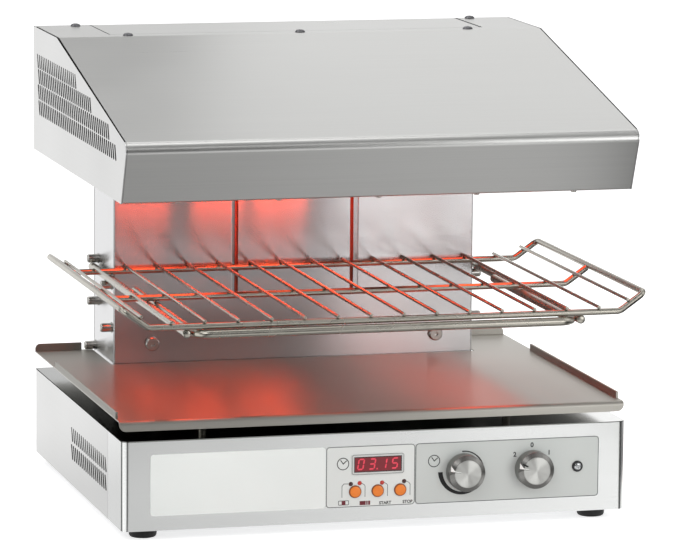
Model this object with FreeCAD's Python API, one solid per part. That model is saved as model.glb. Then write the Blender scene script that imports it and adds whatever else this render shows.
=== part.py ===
import FreeCAD, Part
import math
import os

V = FreeCAD.Vector
os.makedirs("parts", exist_ok=True)

# Counter-top salamander grill, in millimetres. X to the right, Y to the back, Z up.
# The origin is on the table under the middle of the base.

# Sheets, gaps and fits
sheet = 1.2
overlay = 0.5
seam = 0.5
rest_gap = 0.3
running_play = 0.05
slot_play = 0.5
flange = 12.0

# Base
base_half_width = 300.0
base_half_depth = 247.0
base_top = 116.3
foot_height = 12.0
front_corner = 8.6
rear_corner = 2.5
fascia_return = -170.0
floor_rim = 20.0
wall_inset_x = base_half_width - sheet
wall_inset_y = base_half_depth - sheet
base_wall_top = base_top - sheet
floor_top = foot_height + sheet
fascia_outer = -base_half_depth
fascia_inner = fascia_outer + sheet
panel_face = fascia_outer - overlay

# Rubber feet and their screws
foot_radius = 16.5
foot_edge = 3.0
foot_inset_x = 31.0
foot_inset_y = 32.0
foot_recess_radius = 6.5
foot_recess = 5.0
foot_head_radius = 5.2
foot_head_height = 3.5
foot_thread = 3.0
nut_height = 5.0
foot_screw_length = 15.5

# Side vents
vent_pitch = 11.0
vent_width = 4.6
vent_height = 16.4
vent_lean = 6.0
vent_corner = 1.2
base_vent_y0 = -163.0
base_vent_y1 = 36.0
base_vent_rows = [44.0, 65.6]

# Front panel
panel_bottom = 29.0
panel_top = 100.3
panel_margin = 32.7
panel_edge = base_half_width - panel_margin
panel_corner = 4.0
blank_plate_right = -61.4
timer_panel_left = -61.0
timer_panel_right = 45.0
knob_panel_left = 45.4
window_left = -28.0
window_right = 29.0
window_bottom = 69.3
window_top = 87.6
bezel_margin = 2.6
bezel_proud = 1.0
bezel_corner = 2.5
window_proud = 0.7
key_x = [-26.3, 0.6, 27.5]
key_z = 47.0
key_radius = 7.15
key_play = 0.3
key_proud = 2.1
key_travel = 1.0
key_flange_radius = 7.9
key_flange_thickness = 1.0
key_stem_radius = 2.0
indicator_places = [(-31.5, 56.1), (-21.0, 56.8), (5.8, 56.2), (32.1, 56.8)]
indicator_radius = 2.4
indicator_hole_radius = 2.6
indicator_proud = 0.8

# Timer board and what stands on it
board_depth = 9.8
board_thickness = 1.6
board_left = -58.0
board_right = 42.0
board_bottom = 35.0
board_top = 98.0
standoff_radius = 3.0
standoff_inset = 4.0
switch_half = 5.5
switch_height = 5.3

# Knobs and their controls
lamp_edge = 26.0
selector_spacing = 54.6
timer_spacing = 83.2
lamp_x = panel_edge - lamp_edge
selector_knob_x = lamp_x - selector_spacing
timer_knob_x = selector_knob_x - timer_spacing
knob_z = 65.3
knob_radius = 21.5
knob_height = 18.4
knob_lift = 0.6
knob_bevel = 3.0
knob_face_radius = 16.2
knob_cap_thickness = 1.0
knob_wall = 2.5
knob_hollow_depth = 4.4
pointer_half_width = 6.0
pointer_inner = 8.0
pointer_outer = 21.0
pointer_proud = 0.4
pointer_sink = 3.4
timer_pointer_angle = 169.0
selector_pointer_angle = 170.0
spindle_radius = 3.0
spindle_length = 26.0
bush_radius = 4.75
bush_proud = 4.6
bush_nut_radius = 7.6
bush_nut_height = 2.8
control_half = 20.0
timer_control_depth = 30.0
selector_switch_depth = 38.0

# Pilot lamp
lamp_radius = 4.5
lamp_ring_radius = 6.5
lamp_ring_proud = 2.0
lamp_proud = 3.2
lamp_depth = 22.0

# Tray and its posts
post_radius = 4.5
post_inset = 116.0
post_x = base_half_width - post_inset
post_front_y = -150.0
post_rear_y = 90.0
post_thread = 2.5
post_thread_length = 11.0
post_nut_radius = 4.6
tray_top = 137.6
tray_overhang = 1.0
tray_front_inset = 11.0
tray_back_inset = 2.0
tray_half_width = base_half_width + tray_overhang
tray_front = tray_front_inset - base_half_depth
tray_back = base_half_depth - tray_back_inset
tray_bend = 5.0
tray_lip = 11.8
tray_lip_corner = 8.0
tray_notch_gap_x = 3.0
tray_notch_gap_y = 2.5
rim_height = 8.0
rim_thickness = 2.6
rim_front = -215.0
rim_back = 123.0
stop_height = 9.0
stop_width = 58.0
stop_inner = tray_half_width - stop_width
stop_corner = 6.0

# Column
column_half_width = 226.5
column_front = 134.7
column_back = base_half_depth
column_corner = 2.0
column_rise = 16.3
column_opening_half = 79.3
column_opening_bottom = 216.0
column_opening_return = 4.5
column_rear_flange = 21.5
centre_panel_half = 70.5
centre_panel_setback = 5.0
centre_panel_bottom = 190.0
centre_panel_top = 402.0
rail_half_length = 110.0
rail_pad = 20.0
rail_thickness = 2.0
rail_height = 20.0
rail_bottoms = [193.0, 376.0]
post_channel_x = 179.0
post_channel_width = 40.0
post_channel_depth = 30.0
post_channel_wall = 2.0
post_channel_bend = 4.0
bolt_z = 161.0
bolt_head_radius = 8.5
bolt_head_height = 6.0
bolt_thread = 4.0
bolt_length = 15.3
bolt_nut_radius = 7.6
bolt_nut_height = 6.5
rear_cover_inset = 0.5
rear_cover_half_width = column_half_width - rear_cover_inset
rear_cover_bottom = 108.0
rear_cover_depth = 3.0
rear_cover_screw_inset = 11.0
rear_cover_screw_x = column_half_width - rear_cover_screw_inset
rear_cover_screw_z = [130.0, 248.0, 370.0]
rear_vent_rows = [290.0, 312.0, 334.0]
rear_vent_half = 150.0

# Carrier, rack and the pins that hold them
carrier_z = 243.6
carrier_radius = 5.0
arm_column_gap = 1.4
arm_x = column_half_width + arm_column_gap + carrier_radius
arm_front = -280.0
arm_back = 229.5
bow_front = -287.0
bow_back = 32.0
bow_corner = 18.0
rim_rod_radius = 3.75
rack_front = -283.0
rack_back = 128.0
rack_middle = -77.5
rack_bend_reach = 45.1
rack_bend_x = arm_x + rack_bend_reach
rack_bend = 12.0
wing_reach = 29.5
wing_rise = 20.85
wing_corner = 8.0
wire_radius = 2.0
wire_pitch = 38.8
wire_count = 14
wire_overhang = 4.5
wing_wire_reach = 15.0
pin_radius = 5.3
pin_length = 14.0
pin_end_round = 2.5
pin_collar_radius = 6.3
pin_collar = 1.0
pin_thread = 3.0
pin_nut_radius = 5.2
rear_pin_y = 224.0
front_pin_y = 148.0
level_pitch = 52.5
hold_pin_y = 240.0
hold_gap = 0.9

# Hood
hood_overhang = 2.0
hood_half_width = base_half_width + hood_overhang
hood_bottom = 388.7
hood_top = 539.3
hood_fold_y = 107.9
nose_y = -277.0
nose_z = 458.4
hood_lip_y = -247.6
hood_fold_bend = 4.0
nose_bend = 9.0
hood_lip_bend = 3.0
hood_flange = 15.0
hood_seam = 0.6
hood_vent_rows = [(491.3, -5.0, 228.0), (472.7, -88.6, 226.0), (454.0, -186.0, 223.0), (435.0, -223.0, 218.0)]
flap_front = 133.0
flap_width_over_column = 6.1
flap_half_width = column_half_width + flap_width_over_column
flap_left_gap = 0.6
flap_right_gap = 1.8
flap_front_gap = 1.0
tab_side_gap = 18.0
tab_width = 48.0
tab_outer = hood_half_width - tab_side_gap
tab_inner = tab_outer - tab_width
tab_depth = 21.0
beam_front = 112.0
beam_back = 170.0
beam_drop = 38.0
beam_wall = 2.0
rear_screw_left = (-(tab_outer - 32.0), base_half_depth - 10.5)
rear_screw_right = (tab_outer - 34.0, base_half_depth - 7.0)
hood_rear_screws = [rear_screw_left, rear_screw_right]
hood_middle_screws = [(-213.0, 117.2), (0.0, 118.0), (211.0, 117.2)]
hood_screw_radius = 6.2
hood_screw_head = 3.0
hood_screw_thread = 2.2
hood_screw_length = 15.0

# Heaters under the hood
pan_side_gap = 3.0
pan_front_gap = 3.1
pan_back_gap = 4.0
pan_half_width = hood_half_width - pan_side_gap
pan_front = hood_lip_y + pan_front_gap
pan_back = base_half_depth - pan_back_gap
pan_column_gap = 0.8
pan_screw_x = [-234.0, -117.0, 0.0, 117.0, 234.0]
pan_screw_y = -240.0
small_screw_radius = 3.5
small_screw_head = 2.2
small_screw_thread = 1.5
zone_x = [-180.0, 0.0, 180.0]
zone_half_width = 55.0
zone_front = -215.0
zone_back = 105.0
reflector_sheet = 0.8
reflector_margin = 5.2
reflector_height = 39.7
reflector_foot = 12.0
reflector_end = 5.0
tube_offset = 28.0
tube_height = 19.0
tube_radius = 5.0
tube_wall = 0.8
coil_radius = 1.5
coil_overrun = 6.0
end_cap_radius = 7.4
end_cap_length = 20.0
end_cap_overlap = 8.0
guard_radius = 1.25
guard_overlap = 3.0
guard_pitch = 50.0
guard_count = 6

# Wiring and terminals
gland_inset = 70.0
gland_x = base_half_width - gland_inset
gland_z = 45.0
gland_hex_radius = 11.0
gland_hex = 6.0
gland_cap_radius = 9.0
gland_cap = 9.0
gland_thread = 8.0
gland_thread_length = 9.0
gland_bore = 5.0
earth_spacing = 80.0
earth_x = gland_x - earth_spacing
earth_radius = 3.0
earth_inside = 7.0
earth_tip_radius = 2.5
earth_tip = 7.0
relay_board_left = -60.0
relay_board_right = 100.0
relay_board_front = -20.0
relay_board_back = 120.0
relay_lift = 8.0
relay_width = 30.0
relay_depth = 24.0
relay_height = 25.0
relay_x = [-40.0, 0.0, 40.0]
relay_y = 60.0
terminal_gap = 70.0
terminal_inset = 42.0
terminal_width = 40.0
terminal_right = gland_x - terminal_gap
terminal_left = terminal_right - terminal_width
terminal_depth = 20.0
terminal_back = base_half_depth - terminal_inset
terminal_front = terminal_back - terminal_depth
terminal_height = 24.8
hood_block_half = 100.0
hood_block_depth = 15.0
hood_block_height = 20.0
hood_block_lift = 3.0
loom_x = (terminal_left + terminal_right) / 2
loom_radius = 6.0
loom_hole_play = 3.0
loom_turn_z = 455.0
loom_bend = 20.0
block_bend = 15.0
power_inset = 15.0
power_z = 75.0
board_lead_radius = 4.0
ribbon_inset = 30.0
ribbon_reach = 22.6
ribbon_low_z = 50.0
ribbon_high_z = 64.0
ribbon_bend = 6.0
ribbon_radius = 2.5
lead_reach = 55.8
control_lead_radius = 3.0
power_end_gap = 2.0
ribbon_shift = 10.0
ribbon_low_bend = 10.0
timer_lead_shift = 80.0
timer_lead_inset = 25.0
selector_lead_inset = 30.0
selector_lead_shift = 5.0
selector_lead_reach = lead_reach + 52.0
lead_start = 9.0
lead_bends = [0, 6, 8, 5, 0]
lead_rise = 60.0
lead_drop = 13.0
lead_radius = 1.5
lead_targets = [-75.0, -45.0, -15.0, 15.0, 45.0, 75.0]

X_AXIS = V(1, 0, 0)
Y_AXIS = V(0, 1, 0)
Z_AXIS = V(0, 0, 1)


def box(x0, x1, y0, y1, z0, z1):
    return Part.makeBox(x1 - x0, y1 - y0, z1 - z0, V(x0, y0, z0))


def cylinder(x, y, z, axis, radius, length):
    return Part.makeCylinder(radius, length, V(x, y, z), axis)


def hexagon(x, y, z, axis, radius, length):
    # A hexagonal prism whose corners lie on the radius.
    side = V(0, 0, 1) if abs(axis.z) < 0.5 else V(1, 0, 0)
    other = axis.cross(side)
    corners = []
    for step in range(6):
        angle = math.radians(60 * step)
        corners.append(V(x, y, z) + side * (radius * math.cos(angle)) + other * (radius * math.sin(angle)))
    return Part.Face(Part.makePolygon(corners + corners[:1])).extrude(axis * length)


def rounded_path(points, radii, closed=False):
    # Straight runs joined by tangent arcs, one radius for each point.
    count = len(points)
    starts = []
    middles = []
    ends = []
    for index, corner in enumerate(points):
        free_end = not closed and index in (0, count - 1)
        if radii[index] <= 0.01 or free_end:
            starts.append(corner)
            middles.append(None)
            ends.append(corner)
            continue
        before = (points[index - 1] - corner).normalize()
        after = (points[(index + 1) % count] - corner).normalize()
        half = before.getAngle(after) / 2
        reach = radii[index] / math.tan(half)
        bisector = (before + after).normalize()
        centre = corner + bisector * (radii[index] / math.sin(half))
        starts.append(corner + before * reach)
        middles.append(centre - bisector * radii[index])
        ends.append(corner + after * reach)
    edges = []
    for index in range(count):
        if middles[index] is not None:
            edges.append(Part.Arc(starts[index], middles[index], ends[index]).toShape())
        following = (index + 1) % count
        if closed or index < count - 1:
            if ends[index].distanceToPoint(starts[following]) > 0.0001:
                edges.append(Part.makeLine(ends[index], starts[following]))
    return Part.Wire(edges)


def plan(z):
    return lambda a, b: V(a, b, z)


def side(x):
    return lambda a, b: V(x, a, b)


def front(y):
    return lambda a, b: V(a, y, b)


def prism(points, radii, place, sweep, holes=()):
    # A plate of the outline, with a hole for each wire in holes.
    outline = rounded_path([place(a, b) for a, b in points], radii, True)
    face = Part.makeFace([outline] + list(holes), "Part::FaceMakerBullseye")
    return face.extrude(sweep)


def offset_line(points, distance):
    # The line at a distance to the left of an open line of points, with mitred corners.
    moved = []
    for index, (a, b) in enumerate(points):
        normals = []
        if index > 0:
            da = a - points[index - 1][0]
            db = b - points[index - 1][1]
            length = math.hypot(da, db)
            normals.append((-db / length, da / length))
        if index < len(points) - 1:
            da = points[index + 1][0] - a
            db = points[index + 1][1] - b
            length = math.hypot(da, db)
            normals.append((-db / length, da / length))
        first = normals[0]
        last = normals[-1]
        scale = distance / (1 + first[0] * last[0] + first[1] * last[1])
        if len(normals) == 1:
            scale = distance / 2
        moved.append((a + (first[0] + last[0]) * scale, b + (first[1] + last[1]) * scale))
    return moved


def folded(points, bends, thickness, place, sweep):
    # A folded sheet. The points follow its outer skin and the metal lies to their left.
    inner = offset_line(points, thickness)
    outer_radii = []
    inner_radii = []
    for index, bend in enumerate(bends):
        outward = True
        if 0 < index < len(points) - 1:
            a0, b0 = points[index - 1]
            a1, b1 = points[index]
            a2, b2 = points[index + 1]
            outward = (a1 - a0) * (b2 - b1) - (b1 - b0) * (a2 - a1) > 0
        outer_radii.append(bend if outward else max(bend - thickness, 0))
        inner_radii.append(max(bend - thickness, 0) if outward else bend)
    return prism(points + inner[::-1], outer_radii + inner_radii[::-1], place, sweep)


def rod(points, radii, radius):
    # A round rod along straight runs and arcs.
    path = rounded_path(points, radii)
    section = Part.Wire(Part.makeCircle(radius, points[0], points[1] - points[0]))
    return path.makePipeShell([section], True, False)


def mirrored(shape):
    return shape.mirror(V(0, 0, 0), X_AXIS)


def both_sides(shape):
    return [shape, mirrored(shape)]


def fused(shapes):
    return shapes[0].fuse(shapes[1:]).removeSplitter()


def opened(shape, tools):
    return shape.cut(Part.makeCompound(tools))


def vent_wires(row_bottom, start, end, place):
    # The outlines of one row of leaning slots.
    span = vent_width + vent_lean
    count = int((end - start - span) / vent_pitch) + 1
    wires = []
    for index in range(count):
        at = start + vent_pitch * index
        top = row_bottom + vent_height
        corners = [
            (at, row_bottom),
            (at + vent_width, row_bottom),
            (at + span, top),
            (at + vent_lean, top),
        ]
        wires.append(rounded_path([place(a, b) for a, b in corners], [vent_corner] * 4, True))
    return wires


def domed_head(x, y, z, axis, radius, height, thread, length):
    # A screw with a low rounded head on the outer side of the seat and its thread going inward.
    disc = cylinder(x, y, z, axis, radius, height)
    rim = [edge for edge in disc.Edges if abs((edge.CenterOfMass - V(x, y, z)).dot(axis) - height) < 0.01]
    disc = disc.makeFillet(height * 0.6, rim)
    start = V(x, y, z) - axis * length
    return fused([disc, Part.makeCylinder(thread, length, start, axis)])


def save(name, solids):
    # One STEP file for each named piece or group of like pieces.
    shapes = solids if isinstance(solids, list) else [solids]
    shape = shapes[0] if len(shapes) == 1 else Part.makeCompound(shapes)
    shape.exportStep("parts/" + name + ".step")


# Base floor, a shallow pan inside the foot of the walls
foot_x = base_half_width - foot_inset_x
foot_y = base_half_depth - foot_inset_y
feet = [(sx * foot_x, sy * foot_y) for sx in (-1, 1) for sy in (-1, 1)]


def rectangle(half_x, half_y):
    return [(-half_x, -half_y), (half_x, -half_y), (half_x, half_y), (-half_x, half_y)]


def base_corners(inset):
    at_front = max(front_corner - inset, 0)
    at_rear = max(rear_corner - inset, 0)
    return [at_front, at_front, at_rear, at_rear]


floor_blank = prism(
    rectangle(wall_inset_x, wall_inset_y), base_corners(sheet), plan(foot_height), Z_AXIS * (sheet + floor_rim)
)
floor_hollow = prism(
    rectangle(wall_inset_x - sheet, wall_inset_y - sheet),
    base_corners(2 * sheet),
    plan(floor_top),
    Z_AXIS * (floor_rim + 1),
)
foot_holes = [cylinder(x, y, foot_height - 1, Z_AXIS, foot_thread, sheet + 2) for x, y in feet]
save("base_floor", opened(floor_blank.cut(floor_hollow), foot_holes))

# Rubber feet with a recess for the screw head
rubber_feet = []
foot_screws = []
hex_nuts = []
for x, y in feet:
    foot = cylinder(x, y, 0, Z_AXIS, foot_radius, foot_height)
    foot = foot.makeFillet(foot_edge, [edge for edge in foot.Edges if abs(edge.CenterOfMass.z) < 0.01])
    recess = cylinder(x, y, -1, Z_AXIS, foot_recess_radius, foot_recess + 1)
    bore = cylinder(x, y, 0, Z_AXIS, foot_thread, foot_height + 1)
    rubber_feet.append(opened(foot, [recess, bore]))
    head = cylinder(x, y, foot_recess - foot_head_height, Z_AXIS, foot_head_radius, foot_head_height)
    shank = cylinder(x, y, foot_recess, Z_AXIS, foot_thread, foot_screw_length)
    foot_screws.append(fused([head, shank]))
    nut = hexagon(x, y, floor_top, Z_AXIS, foot_head_radius, nut_height)
    hex_nuts.append(nut.cut(shank))
save("rubber_feet", rubber_feet)

# Rear and side shell of the base, open at the front
shell_start = fascia_return + seam
shell_path = [
    (base_half_width, shell_start),
    (base_half_width, base_half_depth),
    (-base_half_width, base_half_depth),
    (-base_half_width, shell_start),
]
shell_bends = [0, rear_corner, rear_corner, 0]
wall_height = base_wall_top - foot_height
base_shell = fused([
    folded(shell_path, shell_bends, sheet, plan(foot_height), Z_AXIS * wall_height),
    folded(shell_path, shell_bends, flange, plan(base_wall_top - sheet), Z_AXIS * sheet),
])
vent_tools = []
for row in base_vent_rows:
    for wire in vent_wires(row, base_vent_y0, base_vent_y1, side(wall_inset_x - 1)):
        vent_tools.append(Part.Face(wire).extrude(X_AXIS * (sheet + 2)))
        vent_tools.append(mirrored(vent_tools[-1]))
gland_hole = cylinder(gland_x, wall_inset_y - 1, gland_z, Y_AXIS, gland_thread, sheet + 2)
earth_hole = cylinder(earth_x, wall_inset_y - 1, gland_z, Y_AXIS, earth_radius, sheet + 2)
save("base_shell", opened(base_shell, vent_tools + [gland_hole, earth_hole]))

# Front fascia, folded round the front corners
fascia_path = [
    (-base_half_width, fascia_return),
    (-base_half_width, -base_half_depth),
    (base_half_width, -base_half_depth),
    (base_half_width, fascia_return),
]
fascia_bends = [0, front_corner, front_corner, 0]
fascia = fused([
    folded(fascia_path, fascia_bends, sheet, plan(foot_height), Z_AXIS * wall_height),
    folded(fascia_path, fascia_bends, flange, plan(base_wall_top - sheet), Z_AXIS * sheet),
])
front_depth = overlay + sheet + 2
window_hole = box(
    window_left, window_right, panel_face - 1, fascia_inner + 1, window_bottom, window_top
)
key_holes = [cylinder(x, panel_face - 1, key_z, Y_AXIS, key_radius + key_play, front_depth) for x in key_x]
indicator_holes = [
    cylinder(x, panel_face - 1, z, Y_AXIS, indicator_hole_radius, front_depth) for x, z in indicator_places
]
knob_holes = [
    cylinder(x, panel_face - 1, knob_z, Y_AXIS, bush_radius, front_depth) for x in (timer_knob_x, selector_knob_x)
]
lamp_hole = cylinder(lamp_x, panel_face - 1, knob_z, Y_AXIS, lamp_radius, front_depth)
front_holes = [window_hole, lamp_hole] + key_holes + indicator_holes + knob_holes
save("front_fascia", opened(fascia, front_holes))

# Three overlays on the fascia
def front_plate(left, right):
    corners = [(left, panel_bottom), (right, panel_bottom), (right, panel_top), (left, panel_top)]
    return prism(corners, [panel_corner] * 4, front(panel_face), Y_AXIS * overlay)


save("blank_front_plate", front_plate(-panel_edge, blank_plate_right))
timer_panel_holes = [window_hole] + key_holes + indicator_holes
save("timer_panel", opened(front_plate(timer_panel_left, timer_panel_right), timer_panel_holes))
save("knob_panel", opened(front_plate(knob_panel_left, panel_edge), knob_holes + [lamp_hole]))

# Display bezel, window and digit module
bezel_corners = [
    (window_left - bezel_margin, window_bottom - bezel_margin),
    (window_right + bezel_margin, window_bottom - bezel_margin),
    (window_right + bezel_margin, window_top + bezel_margin),
    (window_left - bezel_margin, window_top + bezel_margin),
]
bezel = prism(bezel_corners, [bezel_corner] * 4, front(panel_face - bezel_proud), Y_AXIS * bezel_proud)
bezel_hole = box(
    window_left, window_right, panel_face - bezel_proud - 1, panel_face + 1, window_bottom, window_top
)
save("display_bezel", bezel.cut(bezel_hole))
window_front = panel_face - window_proud
save("display_window", box(window_left, window_right, window_front, fascia_inner, window_bottom, window_top))
board_face = fascia_inner + board_depth
module_lap = 0.5
save("display_module", box(
    window_left - module_lap, window_right + module_lap, fascia_inner, board_face,
    window_bottom - module_lap, window_top + module_lap,
))

# Keys, each a cap with a flange behind the fascia and a stem in its switch
key_flange_face = fascia_inner + rest_gap
switch_face = board_face - switch_height
stem_reach = 2.3


def key(x):
    cap_front = panel_face - key_proud
    cap = cylinder(x, cap_front, key_z, Y_AXIS, key_radius, key_flange_face - cap_front)
    edge = [item for item in cap.Edges if abs(item.CenterOfMass.y - cap_front) < 0.01]
    cap = cap.makeFillet(0.8, edge)
    lip = cylinder(x, key_flange_face, key_z, Y_AXIS, key_flange_radius, key_flange_thickness)
    stem_start = key_flange_face + key_flange_thickness
    stem_end = switch_face + stem_reach
    stem = cylinder(x, stem_start, key_z, Y_AXIS, key_stem_radius, stem_end - stem_start)
    return fused([cap, lip, stem])


for name, x in zip(("zone_key", "start_key", "stop_key"), key_x):
    save(name, key(x))
switches = []
for x in key_x:
    body = box(x - switch_half, x + switch_half, switch_face, board_face, key_z - switch_half, key_z + switch_half)
    well_depth = stem_reach + key_travel + rest_gap
    well = cylinder(x, switch_face - 1, key_z, Y_AXIS, key_stem_radius + key_play, well_depth + 1)
    switches.append(body.cut(well))
save("key_switches", switches)

# Indicator lenses from the board to the front
lenses = []
indicator_front = panel_face - indicator_proud
indicator_neck = 0.4
for x, z in indicator_places:
    head = cylinder(x, indicator_front, z, Y_AXIS, indicator_radius, fascia_inner - indicator_front)
    rim = [item for item in head.Edges if abs(item.CenterOfMass.y - indicator_front) < 0.01]
    head = head.makeFillet(indicator_proud * 0.75, rim)
    neck = cylinder(x, fascia_inner, z, Y_AXIS, indicator_radius - indicator_neck, board_depth)
    lenses.append(fused([head, neck]))
save("indicator_lenses", lenses)

# Circuit boards and the pillars that carry them
timer_board = box(
    board_left, board_right, board_face, board_face + board_thickness, board_bottom, board_top
)
relay_board_bottom = floor_top + relay_lift
relay_board_top = relay_board_bottom + board_thickness
relay_board = box(
    relay_board_left, relay_board_right, relay_board_front, relay_board_back, relay_board_bottom, relay_board_top
)
save("circuit_boards", [timer_board, relay_board])
pillars = []
for x in (board_left + standoff_inset, board_right - standoff_inset):
    for z in (board_bottom + standoff_inset, board_top - standoff_inset):
        pillars.append(cylinder(x, fascia_inner, z, Y_AXIS, standoff_radius, board_depth))
for x in (relay_board_left + standoff_inset, relay_board_right - standoff_inset):
    for y in (relay_board_front + standoff_inset, relay_board_back - standoff_inset):
        pillars.append(cylinder(x, y, floor_top, Z_AXIS, standoff_radius, relay_lift))
save("board_standoffs", pillars)
relays = []
for x in relay_x:
    relays.append(box(
        x, x + relay_width, relay_y, relay_y + relay_depth, relay_board_top, relay_board_top + relay_height
    ))
save("relays", relays)

# The two controls behind the knobs
spindle_front = panel_face - knob_lift - knob_height + knob_bevel
spindle_end = spindle_front + spindle_length


def control(x, depth):
    # A square body behind the fascia with a threaded bush through it.
    body = box(x - control_half, x + control_half, fascia_inner, fascia_inner + depth,
               knob_z - control_half, knob_z + control_half)
    bush_front = panel_face - bush_proud
    bush = cylinder(x, bush_front, knob_z, Y_AXIS, bush_radius, fascia_inner - bush_front)
    bore_length = spindle_end + rest_gap - bush_front + 1
    bore = cylinder(x, bush_front - 1, knob_z, Y_AXIS, spindle_radius + running_play, bore_length)
    return fused([body, bush]).cut(bore)


save("timer_control", control(timer_knob_x, timer_control_depth))
save("selector_switch", control(selector_knob_x, selector_switch_depth))
for x in (timer_knob_x, selector_knob_x):
    nut = hexagon(x, panel_face - bush_nut_height, knob_z, Y_AXIS, bush_nut_radius, bush_nut_height)
    bush_bore = cylinder(x, panel_face - bush_proud, knob_z, Y_AXIS, bush_radius, bush_proud + 1)
    hex_nuts.append(nut.cut(bush_bore))


def spindle(x):
    return cylinder(x, spindle_front, knob_z, Y_AXIS, spindle_radius, spindle_length)


save("timer_spindle", spindle(timer_knob_x))
save("selector_spindle", spindle(selector_knob_x))

# Knobs, hollow at the back over the bush nut
knob_back = panel_face - knob_lift
knob_front = knob_back - knob_height


def knob_cap(x, angle):
    # The spun disc in the knob's face, with a wedge across the bevel that points at the scale.
    disc = cylinder(x, knob_front, knob_z, Y_AXIS, knob_face_radius, knob_cap_thickness)
    rim = [item for item in disc.Edges if abs(item.CenterOfMass.y - knob_front) < 0.01]
    disc = disc.makeFillet(knob_cap_thickness * 0.5, rim)
    inner = V(x + pointer_inner, knob_front, knob_z)
    lower = V(x + pointer_outer, knob_front + pointer_sink, knob_z - pointer_half_width)
    upper = V(x + pointer_outer, knob_front + pointer_sink, knob_z + pointer_half_width)
    crest = V(x + pointer_outer, knob_front - pointer_proud, knob_z)
    triangles = [(inner, lower, upper), (inner, lower, crest), (lower, upper, crest), (upper, inner, crest)]
    faces = [Part.Face(Part.makePolygon([a, b, c, a])) for a, b, c in triangles]
    wedge = Part.makeSolid(Part.makeShell(faces))
    inside_rim = cylinder(x, knob_front - 2, knob_z, Y_AXIS, knob_radius, knob_height)
    cap = disc.fuse(wedge.common(inside_rim))
    cap.rotate(V(x, 0, knob_z), Y_AXIS, -angle)
    return cap


def knob(x, cap):
    # Turned from its half outline, with a bevelled rim and a hollow back.
    outline = [
        (0, knob_back), (knob_radius, knob_back), (knob_radius, knob_front + knob_bevel),
        (knob_face_radius, knob_front), (0, knob_front),
    ]
    corners = [V(x + reach, y, knob_z) for reach, y in outline]
    section = Part.Face(Part.makePolygon(corners + corners[:1]))
    body = section.revolve(V(x, 0, knob_z), Y_AXIS, 360)
    hollow = cylinder(x, knob_back - knob_hollow_depth, knob_z, Y_AXIS, knob_radius - knob_wall, knob_hollow_depth + 1)
    return opened(body, [hollow, spindle(x), cap])


timer_cap = knob_cap(timer_knob_x, timer_pointer_angle)
save("timer_knob_cap", timer_cap)
save("timer_knob", knob(timer_knob_x, timer_cap))
selector_cap = knob_cap(selector_knob_x, selector_pointer_angle)
save("selector_knob_cap", selector_cap)
save("selector_knob", knob(selector_knob_x, selector_cap))

# Pilot lamp
lamp_ring = cylinder(lamp_x, panel_face - lamp_ring_proud, knob_z, Y_AXIS, lamp_ring_radius, lamp_ring_proud)
lamp_front = panel_face - lamp_proud
lamp = cylinder(lamp_x, lamp_front, knob_z, Y_AXIS, lamp_radius, lamp_proud + lamp_depth)
lamp_rim = [item for item in lamp.Edges if abs(item.CenterOfMass.y - lamp_front) < 0.01]
save("pilot_lamp_ring", lamp_ring.cut(lamp))
save("pilot_lamp", lamp.makeFillet(lamp_proud - lamp_ring_proud - 0.1, lamp_rim))

# Posts under the tray
tray_bottom = tray_top - sheet
tray_posts = []
tray_post_shanks = []
for x in (-post_x, post_x):
    for y in (post_front_y, post_rear_y):
        post = cylinder(x, y, base_top, Z_AXIS, post_radius, tray_bottom - rest_gap - base_top)
        shank = cylinder(x, y, base_top - post_thread_length, Z_AXIS, post_thread, post_thread_length)
        tray_posts.append(fused([post, shank]))
        tray_post_shanks.append(shank)
        nut = hexagon(x, y, base_wall_top - nut_height, Z_AXIS, post_nut_radius, nut_height)
        hex_nuts.append(nut.cut(shank))
save("tray_posts", tray_posts)

# Column posts, two channels from the floor to the hood beam
channel_front = column_front + sheet
channel_back = channel_front + post_channel_depth
hood_underside = hood_top - sheet
channel_top = hood_underside - beam_wall
channel_path = [
    (post_channel_x - post_channel_width / 2, channel_back),
    (post_channel_x - post_channel_width / 2, channel_front),
    (post_channel_x + post_channel_width / 2, channel_front),
    (post_channel_x + post_channel_width / 2, channel_back),
]
channel = folded(
    channel_path, [0, post_channel_bend, post_channel_bend, 0], post_channel_wall,
    plan(floor_top), Z_AXIS * (channel_top - floor_top),
)
bolts = []
bolt_shanks = []
for sign in (-1, 1):
    x = sign * post_channel_x
    bolts.append(domed_head(x, column_front, bolt_z, V(0, -1, 0), bolt_head_radius, bolt_head_height,
                            bolt_thread, bolt_length))
    shank = cylinder(x, column_front, bolt_z, Y_AXIS, bolt_thread, bolt_length)
    bolt_shanks.append(shank)
    nut = hexagon(x, channel_front + post_channel_wall, bolt_z, Y_AXIS, bolt_nut_radius, bolt_nut_height)
    hex_nuts.append(nut.cut(shank))
save("column_posts", [post.cut(Part.makeCompound(bolt_shanks)) for post in both_sides(channel)])
save("column_bolts", bolts)

# Polished plate on top of the base
top_plate = prism(
    rectangle(base_half_width, base_half_depth), base_corners(0), plan(base_wall_top), Z_AXIS * sheet
)
channel_slot = box(
    post_channel_x - post_channel_width / 2 - slot_play, post_channel_x + post_channel_width / 2 + slot_play,
    channel_front - slot_play, channel_back + slot_play, base_wall_top - 1, base_top + 1,
)
loom_y = (terminal_front + terminal_back) / 2
loom_hole = cylinder(loom_x, loom_y, base_wall_top - 1, Z_AXIS, loom_radius + loom_hole_play, sheet + 2)
save("base_top_plate", opened(top_plate, both_sides(channel_slot) + tray_post_shanks + [loom_hole]))

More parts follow.
